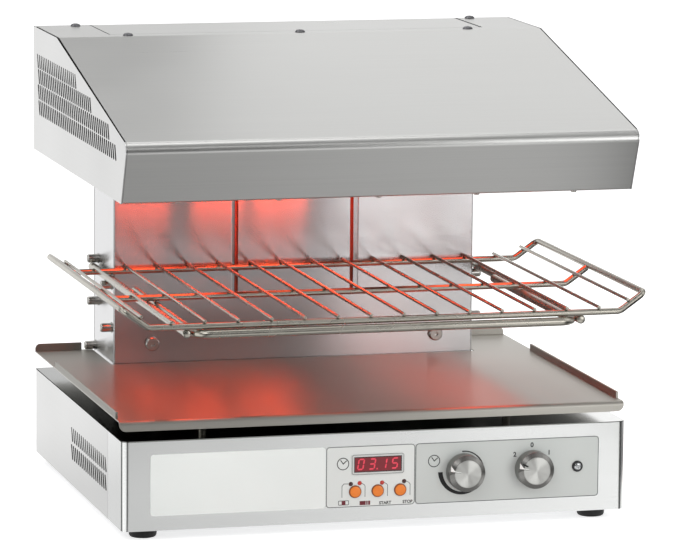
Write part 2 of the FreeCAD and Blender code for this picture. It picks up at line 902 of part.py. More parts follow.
# Column shell with the tall opening in its front
flange_end = column_half_width - column_rear_flange
opening_tip = column_opening_half - column_opening_return
column_top = hood_bottom + column_rise
low_path = [
    (-flange_end, column_back),
    (-column_half_width, column_back),
    (-column_half_width, column_front),
    (column_half_width, column_front),
    (column_half_width, column_back),
    (flange_end, column_back),
]
low_bends = [0, column_corner, column_corner, column_corner, column_corner, 0]
high_path = low_path[:3] + [
    (-column_opening_half, column_front),
    (-opening_tip, column_front + column_opening_return),
]
high_bends = [0, column_corner, column_corner, column_corner, 0]
low_wall = folded(
    low_path, low_bends, sheet, plan(base_top), Z_AXIS * (column_opening_bottom - base_top)
)
high_wall = folded(
    high_path, high_bends, sheet, plan(column_opening_bottom), Z_AXIS * (column_top - column_opening_bottom)
)
column_shell = fused([low_wall] + both_sides(high_wall))
rear_relief = box(
    -column_half_width - 1, column_half_width + 1, column_back - 2 * sheet, column_back + 1,
    hood_bottom - rest_gap, column_top + 1,
)

# Pins on the sides of the column
rear_pin_z = carrier_z + carrier_radius + rest_gap + pin_radius
front_pin_z = carrier_z - carrier_radius - rest_gap - pin_radius
hold_pin_z = tray_top + hold_gap + pin_radius
pin_places = [
    (rear_pin_y, rear_pin_z),
    (rear_pin_y, rear_pin_z - level_pitch),
    (front_pin_y, front_pin_z),
    (front_pin_y, front_pin_z - level_pitch),
    (hold_pin_y, hold_pin_z),
]
pin_shank_length = sheet + nut_height + 1.0
pins = []
pin_shanks = []
for y, z in pin_places:
    pin = cylinder(column_half_width, y, z, X_AXIS, pin_radius, pin_length)
    tip = [item for item in pin.Edges if abs(item.CenterOfMass.x - column_half_width - pin_length) < 0.01]
    pin = pin.makeFillet(pin_end_round, tip)
    collar = cylinder(column_half_width, y, z, X_AXIS, pin_collar_radius, pin_collar)
    shank = cylinder(column_half_width - pin_shank_length, y, z, X_AXIS, pin_thread, pin_shank_length)
    pins.extend(both_sides(fused([pin, collar, shank])))
    pin_shanks.extend(both_sides(shank))
    nut = hexagon(column_half_width - sheet - nut_height, y, z, X_AXIS, pin_nut_radius, nut_height)
    hex_nuts.extend(both_sides(nut.cut(shank)))
save("side_pins", pins)

# Screws of the rear cover
rear_face = column_back + rear_cover_depth
cover_screws = []
cover_shanks = []
cover_shank_length = rear_cover_depth + sheet + 8.0
for x in (-rear_cover_screw_x, rear_cover_screw_x):
    for z in rear_cover_screw_z:
        cover_screws.append(domed_head(x, rear_face, z, Y_AXIS, small_screw_radius, small_screw_head,
                                       small_screw_thread, cover_shank_length))
        cover_shanks.append(cylinder(x, rear_face - cover_shank_length, z, Y_AXIS, small_screw_thread,
                                     cover_shank_length))
save("column_shell", opened(column_shell, [rear_relief] + bolt_shanks + pin_shanks + cover_shanks))
save("hex_nuts", hex_nuts)

# Rear cover of the column, a shallow pan with vents
cover_top = hood_bottom - rest_gap
vent_rows = []
for row in rear_vent_rows:
    vent_rows.extend(vent_wires(row, -rear_vent_half, rear_vent_half, front(rear_face - sheet)))
cover_outline = [
    (-rear_cover_half_width, rear_cover_bottom), (rear_cover_half_width, rear_cover_bottom),
    (rear_cover_half_width, cover_top), (-rear_cover_half_width, cover_top),
]
cover_face = prism(cover_outline, [0] * 4, front(rear_face - sheet), Y_AXIS * sheet, vent_rows)
cover_walls = box(
    -rear_cover_half_width, rear_cover_half_width, column_back, rear_face - sheet, rear_cover_bottom, cover_top
).cut(box(
    -rear_cover_half_width + sheet, rear_cover_half_width - sheet, column_back - 1, rear_face,
    rear_cover_bottom + sheet, cover_top - sheet,
))
dimple_radius = 5.0
dimples = [
    cylinder(x, column_back, z, Y_AXIS, dimple_radius, rear_cover_depth - sheet)
    for x in (-rear_cover_screw_x, rear_cover_screw_x) for z in rear_cover_screw_z
]
save("rear_cover", opened(fused([cover_face, cover_walls] + dimples), cover_shanks))

# Recessed panel in the column's opening, on two rails
panel_front = column_front + centre_panel_setback
panel_back = panel_front + sheet
save("column_centre_panel", box(
    -centre_panel_half, centre_panel_half, panel_front, panel_back, centre_panel_bottom, centre_panel_top
))
rail_back = panel_back + rail_thickness
rail_outline = [
    (-rail_half_length, channel_front), (-rail_half_length + rail_pad, channel_front),
    (-rail_half_length + rail_pad, panel_back), (rail_half_length - rail_pad, panel_back),
    (rail_half_length - rail_pad, channel_front), (rail_half_length, channel_front),
    (rail_half_length, rail_back), (-rail_half_length, rail_back),
]
save("panel_rails", [
    prism(rail_outline, [0] * 8, plan(bottom), Z_AXIS * rail_height) for bottom in rail_bottoms
])

# Tray, folded down at the front, with low rims at the sides and stops at the back
tray_path = [(tray_back, tray_top), (tray_front, tray_top), (tray_front, tray_top - tray_lip)]
tray_sheet = folded(
    tray_path, [0, tray_bend, 0], sheet, side(-tray_half_width), X_AXIS * (2 * tray_half_width)
)
lip_bottom = tray_top - tray_lip
lip_shape = [
    (-tray_half_width, lip_bottom), (tray_half_width, lip_bottom),
    (tray_half_width, tray_top + 1), (-tray_half_width, tray_top + 1),
]
tray_sheet = tray_sheet.common(prism(
    lip_shape, [tray_lip_corner, tray_lip_corner, 0, 0], front(tray_front - 1), Y_AXIS * (tray_back - tray_front + 2)
))
notch = box(
    -column_half_width - tray_notch_gap_x, column_half_width + tray_notch_gap_x,
    column_front - tray_notch_gap_y, tray_back + 1, tray_bottom - 1, tray_top + 1,
)
tray_rim_shape = [
    (tray_half_width - rim_thickness, tray_bottom), (tray_half_width, tray_bottom),
    (tray_half_width, tray_top + rim_height), (tray_half_width - rim_thickness, tray_top + rim_height),
]
rim_round = rim_thickness / 2 - 0.05
tray_rim = prism(
    tray_rim_shape, [0, 0, rim_round, rim_round], front(rim_front), Y_AXIS * (rim_back - rim_front)
)
stop_shape = [
    (stop_inner, tray_bottom), (tray_half_width, tray_bottom),
    (tray_half_width, tray_top + stop_height), (stop_inner, tray_top + stop_height),
]
tray_stop = prism(stop_shape, [0, 0, stop_corner, 1.0], front(tray_back - sheet), Y_AXIS * sheet)
save("tray", fused([tray_sheet.cut(notch)] + both_sides(tray_rim) + both_sides(tray_stop)))

# Carrier, two arms that hang between the pins and a bow welded between them
arm = cylinder(arm_x, arm_front, carrier_z, Y_AXIS, carrier_radius, arm_back - arm_front)
save("carrier_arms", both_sides(arm))
bow_x = arm_x - 2 * carrier_radius
bow_points = [
    V(-bow_x, bow_back, carrier_z), V(-bow_x, bow_front, carrier_z),
    V(bow_x, bow_front, carrier_z), V(bow_x, bow_back, carrier_z),
]
save("carrier_bow", rod(bow_points, [0, bow_corner, bow_corner, 0], carrier_radius))

# Rack, a rim rod with raised wings, a rod across the middle and the wires on top
rack_z = carrier_z + carrier_radius + rest_gap + rim_rod_radius
wing_x = rack_bend_x + wing_reach
wing_z = rack_z + wing_rise
half_rim = rod(
    [
        V(0, rack_front, rack_z), V(rack_bend_x, rack_front, rack_z), V(wing_x, rack_front, wing_z),
        V(wing_x, rack_back, wing_z), V(rack_bend_x, rack_back, rack_z), V(0, rack_back, rack_z),
    ],
    [0, rack_bend, wing_corner, wing_corner, rack_bend, 0],
    rim_rod_radius,
)
rack_rim = fused(both_sides(half_rim))
save("rack_rim", rack_rim)
wing_slope = math.hypot(wing_reach, wing_rise)
slope_x = wing_reach / wing_slope
slope_z = wing_rise / wing_slope
bar_reach = wing_slope - rim_rod_radius
bar_end_x = rack_bend_x + slope_x * bar_reach
bar_end_z = rack_z + slope_z * bar_reach
cross_bar = rod(
    [
        V(-bar_end_x, rack_middle, bar_end_z), V(-rack_bend_x, rack_middle, rack_z),
        V(rack_bend_x, rack_middle, rack_z), V(bar_end_x, rack_middle, bar_end_z),
    ],
    [0, rack_bend, rack_bend, 0],
    rim_rod_radius,
)
save("rack_cross_bar", cross_bar)
wire_z = rack_z + rim_rod_radius + wire_radius
wire_start = rack_front - wire_overhang
wire_length = rack_back + wire_overhang - wire_start
wire_lift = rim_rod_radius + wire_radius
wires = []
for index in range(wire_count):
    x = (index - (wire_count - 1) / 2) * wire_pitch
    wires.append(cylinder(x, wire_start, wire_z, Y_AXIS, wire_radius, wire_length))
wing_wire_x = rack_bend_x + slope_x * wing_wire_reach - slope_z * wire_lift
wing_wire_z = rack_z + slope_z * wing_wire_reach + slope_x * wire_lift
wires.extend(both_sides(
    cylinder(wing_wire_x, wire_start, wing_wire_z, Y_AXIS, wire_radius, wire_length)
))
save("rack_wires", wires)

# Screws on top of the hood and below its front edge
top_screws = []
top_shanks = []
for x, y in hood_rear_screws + hood_middle_screws:
    top_screws.append(domed_head(x, y, hood_top, Z_AXIS, hood_screw_radius, hood_screw_head,
                                 hood_screw_thread, hood_screw_length))
    top_shanks.append(cylinder(x, y, hood_top - hood_screw_length, Z_AXIS, hood_screw_thread,
                               hood_screw_length))
save("hood_top_screws", top_screws)
pan_bottom = hood_bottom + sheet
pan_top = pan_bottom + sheet
pan_screws = []
pan_shanks = []
pan_shank_length = 2 * sheet + 5.0
for x in pan_screw_x:
    pan_screws.append(domed_head(x, pan_screw_y, hood_bottom, V(0, 0, -1), small_screw_radius,
                                 small_screw_head, small_screw_thread, pan_shank_length))
    pan_shanks.append(cylinder(x, pan_screw_y, hood_bottom, Z_AXIS, small_screw_thread, pan_shank_length))
save("machine_screws", foot_screws + cover_screws + pan_screws)

# Hood cover, one sheet over the top, down the slope, round the nose and in under the front
cheek_inner = hood_half_width - sheet
cover_half = cheek_inner - hood_seam
cover_rear = base_half_depth - sheet - rest_gap
cover_path = [
    (cover_rear, hood_top), (hood_fold_y, hood_top), (nose_y, nose_z),
    (hood_lip_y, hood_bottom), (hood_lip_y + hood_flange, hood_bottom),
]
hood_cover = folded(
    cover_path, [0, hood_fold_bend, nose_bend, hood_lip_bend, 0], sheet, side(-cover_half), X_AXIS * (2 * cover_half)
)
flap_cutout = box(
    -flap_half_width - flap_left_gap, flap_half_width + flap_right_gap,
    flap_front - flap_front_gap, cover_rear + 1, hood_underside - 1, hood_top + 1,
)
save("hood_cover", opened(hood_cover, [flap_cutout] + top_shanks + pan_shanks))

# Hood cheeks, flat plates with a flange all round under the cover
cheek_outline = [
    (base_half_depth, hood_bottom), (base_half_depth, hood_top), (hood_fold_y, hood_top),
    (nose_y, nose_z), (hood_lip_y, hood_bottom),
]
cheek_radii = [0, 0, hood_fold_bend, nose_bend, 0]
cheek_vents = []
for row, start, end in hood_vent_rows:
    cheek_vents.extend(vent_wires(row, start, end, side(cheek_inner)))
cheek_plate = prism(cheek_outline, cheek_radii, side(cheek_inner), X_AXIS * sheet, cheek_vents)
flange_line = offset_line(cheek_outline, sheet)
cheek_flange = folded(
    flange_line, [0, 0, hood_fold_bend, nose_bend - sheet, 0], sheet,
    side(cheek_inner - hood_flange), X_AXIS * hood_flange,
)
lip_clear = box(
    cheek_inner - hood_flange - 1, hood_half_width + 1, nose_y, hood_lip_y + hood_flange + 1,
    hood_bottom - 1, hood_bottom + 2 * sheet,
)
bottom_flange = box(
    cheek_inner - hood_flange, cheek_inner, hood_lip_y + hood_flange + 1, base_half_depth - sheet,
    hood_bottom, hood_bottom + sheet,
)
cheek = fused([cheek_plate, cheek_flange.cut(lip_clear), bottom_flange])
save("right_hood_cheek", cheek)
save("left_hood_cheek", mirrored(cheek))

# Hood rear panel, folded over the top in the middle
rear_path = [(base_half_depth, hood_bottom), (base_half_depth, hood_top), (flap_front, hood_top)]
rear_middle = folded(
    rear_path, [0, rear_corner, 0], sheet, side(-flap_half_width), X_AXIS * (2 * flap_half_width)
)
rear_side = box(
    flap_half_width, cover_half, base_half_depth - sheet, base_half_depth, hood_bottom, hood_top
)
rear_tab = box(
    tab_inner, tab_outer, base_half_depth - tab_depth - sheet, base_half_depth - sheet,
    hood_underside - sheet, hood_underside,
)
rear_panel = fused([rear_middle] + both_sides(rear_side) + both_sides(rear_tab))
save("hood_rear_panel", opened(rear_panel, top_shanks))

# Beam on the column posts, under the flat of the hood
beam_half_length = cheek_inner - hood_flange
beam_path = [
    (beam_back, hood_underside - beam_drop), (beam_back, hood_underside),
    (beam_front, hood_underside), (beam_front, hood_underside - beam_drop),
]
beam = folded(
    beam_path, [0, 2 * beam_wall, 2 * beam_wall, 0], beam_wall,
    side(-beam_half_length), X_AXIS * (2 * beam_half_length),
)
save("hood_beam", opened(beam, top_shanks))

# Heater pan, the hood's underside with three windows
pan_notch_x = column_half_width + pan_column_gap
pan_notch_y = column_front - pan_column_gap
pan_outline = [
    (-pan_half_width, pan_front), (pan_half_width, pan_front), (pan_half_width, pan_back),
    (pan_notch_x, pan_back), (pan_notch_x, pan_notch_y), (-pan_notch_x, pan_notch_y),
    (-pan_notch_x, pan_back), (-pan_half_width, pan_back),
]
pan = prism(pan_outline, [0] * 8, plan(pan_bottom), Z_AXIS * sheet)
windows = [
    box(x - zone_half_width, x + zone_half_width, zone_front, zone_back, pan_bottom - 1, pan_top + 1)
    for x in zone_x
]
save("heater_pan", opened(pan, windows + pan_shanks))

# Reflectors, quartz tubes with their coils and end caps, guard wires
tube_z = pan_top + tube_height
trough_half = zone_half_width + reflector_margin
trough_front = zone_front - reflector_end
trough_back = zone_back + reflector_end
trough_top = pan_top + reflector_height
reflectors = []
tubes = []
coils = []
end_caps = []
guard_wires = []
lead_starts = []
for centre in zone_x:
    outside = box(
        centre - trough_half - reflector_sheet, centre + trough_half + reflector_sheet,
        trough_front - reflector_sheet, trough_back + reflector_sheet, pan_top, trough_top,
    )
    inside = box(
        centre - trough_half, centre + trough_half, trough_front, trough_back,
        pan_top - 1, trough_top - reflector_sheet,
    )
    foot_strips = [
        box(x0, x0 + reflector_foot, trough_front, trough_back, pan_top, pan_top + reflector_sheet)
        for x0 in (centre - trough_half - reflector_sheet - reflector_foot, centre + trough_half + reflector_sheet)
    ]
    trough = fused([outside.cut(inside)] + foot_strips)
    for x in (centre - tube_offset, centre + tube_offset):
        bare_tube = cylinder(x, zone_front, tube_z, Y_AXIS, tube_radius, zone_back - zone_front)
        tube_hollow = cylinder(
            x, zone_front - 1, tube_z, Y_AXIS, tube_radius - tube_wall, zone_back - zone_front + 2
        )
        coil = cylinder(
            x, zone_front - coil_overrun, tube_z, Y_AXIS, coil_radius, zone_back - zone_front + 2 * coil_overrun
        )
        for start in (zone_front + end_cap_overlap - end_cap_length, zone_back - end_cap_overlap):
            cap = cylinder(x, start, tube_z, Y_AXIS, end_cap_radius, end_cap_length)
            trough = trough.cut(cap)
            end_caps.append(cap.cut(bare_tube).cut(coil))
        tubes.append(bare_tube.cut(tube_hollow))
        coils.append(coil)
        lead_starts.append(x)
    reflectors.append(trough)
    for index in range(guard_count):
        y = (zone_front + zone_back) / 2 + (index - (guard_count - 1) / 2) * guard_pitch
        guard_length = 2 * (zone_half_width + guard_overlap)
        guard_wires.append(cylinder(
            centre - guard_length / 2, y, pan_top + guard_radius, X_AXIS, guard_radius, guard_length
        ))
save("heater_reflectors", reflectors)
save("heater_tubes", tubes + coils)
save("heater_end_caps", end_caps)
save("heater_guard_wires", guard_wires)

# Cable gland and earth stud in the back of the base
gland_parts = [
    hexagon(gland_x, base_half_depth, gland_z, Y_AXIS, gland_hex_radius, gland_hex),
    cylinder(gland_x, base_half_depth + gland_hex, gland_z, Y_AXIS, gland_cap_radius, gland_cap),
    cylinder(gland_x, base_half_depth - gland_thread_length, gland_z, Y_AXIS, gland_thread, gland_thread_length),
]
gland_length = gland_thread_length + gland_hex + gland_cap
gland_hole = cylinder(
    gland_x, base_half_depth - gland_thread_length - 1, gland_z, Y_AXIS, gland_bore, gland_length + 2
)
save("cable_gland", fused(gland_parts).cut(gland_hole))
stud_shoulder = base_half_depth + nut_height
stud = fused([
    cylinder(earth_x, base_half_depth - earth_inside, gland_z, Y_AXIS, earth_radius, earth_inside + nut_height),
    cylinder(earth_x, stud_shoulder, gland_z, Y_AXIS, earth_tip_radius, earth_tip),
])
stud_nuts = [
    hexagon(earth_x, base_half_depth, gland_z, Y_AXIS, pin_nut_radius, nut_height).cut(stud),
    hexagon(earth_x, wall_inset_y - nut_height, gland_z, Y_AXIS, pin_nut_radius, nut_height).cut(stud),
]
save("earth_stud", [stud] + stud_nuts)

# Terminal blocks in the base and under the hood
terminal_top = floor_top + terminal_height
base_block = box(terminal_left, terminal_right, terminal_front, terminal_back, floor_top, terminal_top)
hood_block_bottom = hood_underside - beam_drop + hood_block_lift
hood_block_top = hood_block_bottom + hood_block_height
hood_block = box(
    -hood_block_half, hood_block_half, beam_front - hood_block_depth, beam_front,
    hood_block_bottom, hood_block_top,
)
save("terminal_blocks", [base_block, hood_block])

# Wiring between the blocks, the boards, the controls and the heaters
block_y = beam_front - hood_block_depth / 2
block_z = (hood_block_bottom + hood_block_top) / 2
timer_back = fascia_inner + timer_control_depth
selector_back = fascia_inner + selector_switch_depth
power_x = relay_board_right - power_inset
power_y = relay_board_back - power_inset
power_end_x = terminal_left + board_lead_radius + power_end_gap
ribbon_x = relay_board_left + ribbon_inset
ribbon_y = relay_board_front + ribbon_inset - ribbon_shift
ribbon_turn_y = board_face + board_thickness + ribbon_reach
timer_lead_x = relay_board_left + timer_lead_shift
timer_lead_y = relay_board_front + timer_lead_inset
timer_turn_y = timer_back + lead_reach
selector_lead_x = relay_board_right - selector_lead_inset
selector_lead_y = timer_lead_y + selector_lead_shift
selector_turn_y = selector_back + selector_lead_reach
wiring = [
    rod([V(loom_x, loom_y, terminal_top), V(loom_x, loom_y, loom_turn_z), V(loom_x, block_y, loom_turn_z),
         V(loom_x, block_y, block_z), V(hood_block_half, block_y, block_z)],
        [0, loom_bend, loom_bend, block_bend, 0], loom_radius),
    rod([V(power_x, power_y, relay_board_top), V(power_x, power_y, power_z), V(power_end_x, loom_y, power_z),
         V(power_end_x, loom_y, terminal_top)], [0, block_bend, block_bend, 0], board_lead_radius),
    rod([V(ribbon_x, ribbon_y, relay_board_top), V(ribbon_x, ribbon_y, ribbon_low_z),
         V(ribbon_x, ribbon_turn_y, ribbon_low_z), V(ribbon_x, ribbon_turn_y, ribbon_high_z),
         V(ribbon_x, board_face + board_thickness, ribbon_high_z)],
        [0, ribbon_low_bend, ribbon_bend, ribbon_bend, 0], ribbon_radius),
    rod([V(timer_knob_x, timer_back, knob_z), V(timer_knob_x, timer_turn_y, knob_z),
         V(timer_lead_x, timer_turn_y, knob_z), V(timer_lead_x, timer_lead_y, knob_z),
         V(timer_lead_x, timer_lead_y, relay_board_top)], [0, loom_bend, loom_bend, loom_bend, 0],
        control_lead_radius),
    rod([V(selector_knob_x, selector_back, knob_z), V(selector_knob_x, selector_turn_y, knob_z),
         V(selector_lead_x, selector_turn_y, knob_z), V(selector_lead_x, selector_lead_y, knob_z),
         V(selector_lead_x, selector_lead_y, relay_board_top)], [0, loom_bend, loom_bend, loom_bend, 0],
        control_lead_radius),
]
cap_back = zone_back - end_cap_overlap + end_cap_length
lead_y = cap_back + lead_start
for start_x, target_x in zip(lead_starts, lead_targets):
    wiring.append(rod(
        [V(start_x, cap_back, tube_z), V(start_x, lead_y, tube_z), V(start_x, lead_y, tube_z + lead_rise),
         V(target_x, block_y, hood_block_bottom - lead_drop), V(target_x, block_y, hood_block_bottom)],
        lead_bends,
        lead_radius,
    ))
save("wiring", wiring)
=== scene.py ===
"""The looks of a counter-top salamander grill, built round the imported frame."""

import logging
import math
from dataclasses import dataclass, field
from enum import Enum

import bmesh
import bpy
from mathutils import Matrix, Vector

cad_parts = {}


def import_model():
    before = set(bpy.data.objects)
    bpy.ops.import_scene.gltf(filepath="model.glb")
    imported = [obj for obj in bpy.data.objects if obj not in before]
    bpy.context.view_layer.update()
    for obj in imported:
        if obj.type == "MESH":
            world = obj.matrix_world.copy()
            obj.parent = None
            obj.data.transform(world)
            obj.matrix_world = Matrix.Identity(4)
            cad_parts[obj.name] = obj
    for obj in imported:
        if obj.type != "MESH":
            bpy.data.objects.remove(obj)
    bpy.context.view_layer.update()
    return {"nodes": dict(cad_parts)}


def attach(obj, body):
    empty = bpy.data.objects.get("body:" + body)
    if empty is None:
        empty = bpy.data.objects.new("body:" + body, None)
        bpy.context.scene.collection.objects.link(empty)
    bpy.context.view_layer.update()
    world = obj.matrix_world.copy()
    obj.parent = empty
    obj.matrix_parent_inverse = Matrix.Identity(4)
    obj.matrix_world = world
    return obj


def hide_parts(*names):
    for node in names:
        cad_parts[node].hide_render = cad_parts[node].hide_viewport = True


LOG = logging.getLogger("grill")
MM = 0.001

Colour = tuple[float, float, float]
Point = tuple[float, float]
Place = tuple[float, float, float]
Area = tuple[float, float, float, float]
Socket = bpy.types.NodeSocket
Tones = tuple[Point, ...]


class Body(Enum):
    """The bodies of the frame that a piece can ride on."""

    CABINET = "cabinet"
    TRAY = "tray"
    CARRIER = "carrier"
    RACK = "rack"
    TIMER_DIAL = "timer_dial"
    SELECTOR_DIAL = "selector_dial"
    ZONE_BUTTON = "zone_button"
    START_BUTTON = "start_button"
    STOP_BUTTON = "stop_button"


class Grain(Enum):
    """The direction that a sheet is brushed in."""

    ACROSS = (1.0, 0.0, 0.0)
    DEEP = (0.0, 1.0, 0.0)

    def scale(self, along: float, across: float) -> Place:
        """Gives a pattern's scale, drawn out along the grain."""
        return tuple(along if part else across for part in self.value)


def linear(code: str) -> Colour:
    """Turns a written colour into the shader's numbers.

    Args:
        code: Six hexadecimal digits, two each for red, green and blue.

    Returns:
        The colour in linear light.
    """
    parts = [int(code[at : at + 2], 16) / 255 for at in (0, 2, 4)]
    return tuple(c / 12.92 if c < 0.04045 else ((c + 0.055) / 1.055) ** 2.4 for c in parts)


def seated(seat: Vector, axis: Vector) -> Matrix:
    """Gives the place of a turned piece.

    Args:
        seat: The point that its outline starts from.
        axis: The direction that it grows in.

    Returns:
        A matrix that takes +Z to the axis and the origin to the seat.
    """
    return Matrix.Translation(seat) @ axis.to_track_quat("Z", "Y").to_matrix().to_4x4()


class Graph:
    """The node tree of one material, with Object coordinates as the place of its patterns."""

    def __init__(self, name: str) -> None:
        """Starts a material with a Principled shader.

        Args:
            name: The material's name.
        """
        self.material = bpy.data.materials.new(name)
        self.material.use_nodes = True
        self.tree = self.material.node_tree
        self.shader = self.tree.nodes["Principled BSDF"]
        self.where = self.tree.nodes.new("ShaderNodeTexCoord").outputs["Object"]

    def fix(self, **values: object) -> None:
        """Sets constants on the shader's own sockets.

        Args:
            values: Each socket's name, with underscores for spaces, and its number or colour.
        """
        for name, value in values.items():
            if isinstance(value, tuple):
                value = (*value, 1.0)
            self.shader.inputs[name.replace("_", " ")].default_value = value

    def feed(self, name: str, source: Socket) -> None:
        """Drives one of the shader's sockets with a pattern."""
        self.tree.links.new(source, self.shader.inputs[name])

    def place(self, scale: Place, centre: Place = (0, 0, 0), turn: Place = (0, 0, 0)) -> Socket:
        """Scales the Object coordinates for a pattern.

        Args:
            scale: The pattern's scale along X, Y and Z.
            centre: The point, in millimetres, that becomes the pattern's origin.
            turn: The pattern's turn about X, Y and Z, in degrees.

        Returns:
            The vector socket that a texture reads.
        """
        shift = self.tree.nodes.new("ShaderNodeMapping")
        shift.inputs["Location"].default_value = [-c * MM for c in centre]
        shift.inputs["Rotation"].default_value = [math.radians(t) for t in turn]
        self.tree.links.new(self.where, shift.inputs["Vector"])
        stretch = self.tree.nodes.new("ShaderNodeMapping")
        stretch.inputs["Scale"].default_value = scale
        self.tree.links.new(shift.outputs["Vector"], stretch.inputs["Vector"])
        return stretch.outputs["Vector"]

    def noise(self, place: Socket, scale: float = 1.0, detail: float = 3.0) -> Socket:
        """Adds a noise pattern.

        Args:
            place: The vector that the noise reads.
            scale: Its scale on top of the vector's own.
            detail: The number of finer layers.

        Returns:
            The noise's strength, from 0 to 1.
        """
        made = self.tree.nodes.new("ShaderNodeTexNoise")
        made.inputs["Scale"].default_value = scale
        made.inputs["Detail"].default_value = detail
        self.tree.links.new(place, made.inputs["Vector"])
        return made.outputs["Fac"]

    def cells(self, place: Socket, scale: float) -> Socket:
        """Adds a pattern of flat cells, as on zinc.

        Args:
            place: The vector that the cells read.
            scale: The number of cells in a metre.

        Returns:
            The cells' colour.
        """
        made = self.tree.nodes.new("ShaderNodeTexVoronoi")
        made.inputs["Scale"].default_value = scale
        self.tree.links.new(place, made.inputs["Vector"])
        return made.outputs["Color"]

    def rings(self, place: Socket, scale: float) -> Socket:
        """Adds rings about the place's Y axis, as a turning tool leaves.

        Args:
            place: The vector that the rings read.
            scale: The number of rings in a metre, over 20.

        Returns:
            The rings' strength, from 0 to 1.
        """
        made = self.tree.nodes.new("ShaderNodeTexWave")
        made.wave_type = "RINGS"
        made.rings_direction = "Y"
        made.inputs["Scale"].default_value = scale
        made.inputs["Distortion"].default_value = 0.4
        self.tree.links.new(place, made.inputs["Vector"])
        return made.outputs["Fac"]

    def span(self, value: Socket, low: float, high: float, start: float = 0.3,
             end: float = 0.7) -> Socket:
        """Maps a pattern onto a range.

        Args:
            value: The pattern.
            low: The result at the start.
            high: The result at the end.
            start: The pattern's value that gives low.
            end: The pattern's value that gives high.

        Returns:
            The mapped value.
        """
        made = self.tree.nodes.new("ShaderNodeMapRange")
        for name, number in (("From Min", start), ("From Max", end), ("To Min", low), ("To Max", high)):
            made.inputs[name].default_value = number
        self.tree.links.new(value, made.inputs["Value"])
        return made.outputs["Result"]

    def tints(self, factor: Socket, first: Colour, second: Colour) -> Socket:
        """Blends two colours by a pattern.

        Args:
            factor: The pattern.
            first: The colour where it is low.
            second: The colour where it is high.

        Returns:
            The blended colour.
        """
        made = self.tree.nodes.new("ShaderNodeValToRGB")
        made.color_ramp.elements[0].position = 0.25
        made.color_ramp.elements[1].position = 0.75
        made.color_ramp.elements[0].color = (*first, 1.0)
        made.color_ramp.elements[1].color = (*second, 1.0)
        self.tree.links.new(factor, made.inputs["Fac"])
        return made.outputs["Color"]

    def bump(self, height: Socket, depth: float, strength: float = 0.5) -> None:
        """Raises the surface by a pattern.

        Args:
            height: The pattern.
            depth: The height of a full step, in millimetres.
            strength: The share of it that the shader takes.
        """
        made = self.tree.nodes.new("ShaderNodeBump")
        made.inputs["Distance"].default_value = depth * MM
        made.inputs["Strength"].default_value = strength
        self.tree.links.new(height, made.inputs["Height"])
        self.feed("Normal", made.outputs["Normal"])

    def cross(self, first: Socket, second: Place) -> bpy.types.ShaderNodeVectorMath:
        """Gives the direction square to two others.

        Args:
            first: One direction.
            second: The other direction.

        Returns:
            The node, whose second input may be linked instead.
        """
        made = self.tree.nodes.new("ShaderNodeVectorMath")
        made.operation = "CROSS_PRODUCT"
        made.inputs[1].default_value = second
        self.tree.links.new(first, made.inputs[0])
        return made

    def brush(self, grain: Grain, stretch: float) -> None:
        """Draws highlights out across a straight grain.

        Args:
            grain: The grain.
            stretch: How far they are drawn out, from 0 to 1.
        """
        normal = self.tree.nodes.new("ShaderNodeNewGeometry").outputs["Normal"]
        self.feed("Tangent", self.cross(normal, grain.value).outputs["Vector"])
        self.fix(Anisotropic=stretch)

    def turn(self, centre: Place, stretch: float) -> None:
        """Draws highlights out across rings about an axis along Y.

        Args:
            centre: A point on the axis, in millimetres.
            stretch: How far they are drawn out, from 0 to 1.
        """
        rings = self.cross(self.place((1.0, 1.0, 1.0), centre), Grain.DEEP.value)
        normal = self.tree.nodes.new("ShaderNodeNewGeometry").outputs["Normal"]
        spokes = self.cross(normal, Grain.DEEP.value)
        self.tree.links.new(rings.outputs["Vector"], spokes.inputs[1])
        self.feed("Tangent", spokes.outputs["Vector"])
        self.fix(Anisotropic=stretch)


def shades(colour: Colour, low: float, high: float) -> tuple[Colour, Colour]:
    """Gives a darker and a lighter shade of a colour.

    Args:
        colour: The colour.
        low: The darker shade's share of it.
        high: The lighter shade's share of it.

    Returns:
        The two shades.
    """
    return tuple(c * low for c in colour), tuple(min(c * high, 1.0) for c in colour)


@dataclass(frozen=True)
class Finish:
    """One surface finish and the name of the material slot that it belongs to."""

    name: str
    slot: str
    code: str
    roughness: float = 0.4

    @property
    def colour(self) -> Colour:
        """The finish's colour in linear light."""
        return linear(self.code)

    def paint(self, graph: Graph) -> None:
        """Builds the pattern. A plain finish has a faint mottle.

        Args:
            graph: The material's node tree.
        """
        mottle = graph.noise(graph.place((1, 1, 1)), 90.0, 4.0)
        graph.feed("Base Color", graph.tints(mottle, *shades(self.colour, 0.9, 1.06)))
        graph.feed("Roughness", graph.span(mottle, self.roughness - 0.04, self.roughness + 0.06))

    def material(self) -> bpy.types.Material:
        """Gives the finish's material, made at its first use."""
        made = bpy.data.materials.get(self.name)
        if made is None:
            graph = Graph(self.name)
            self.paint(graph)
            made = graph.material
        return made


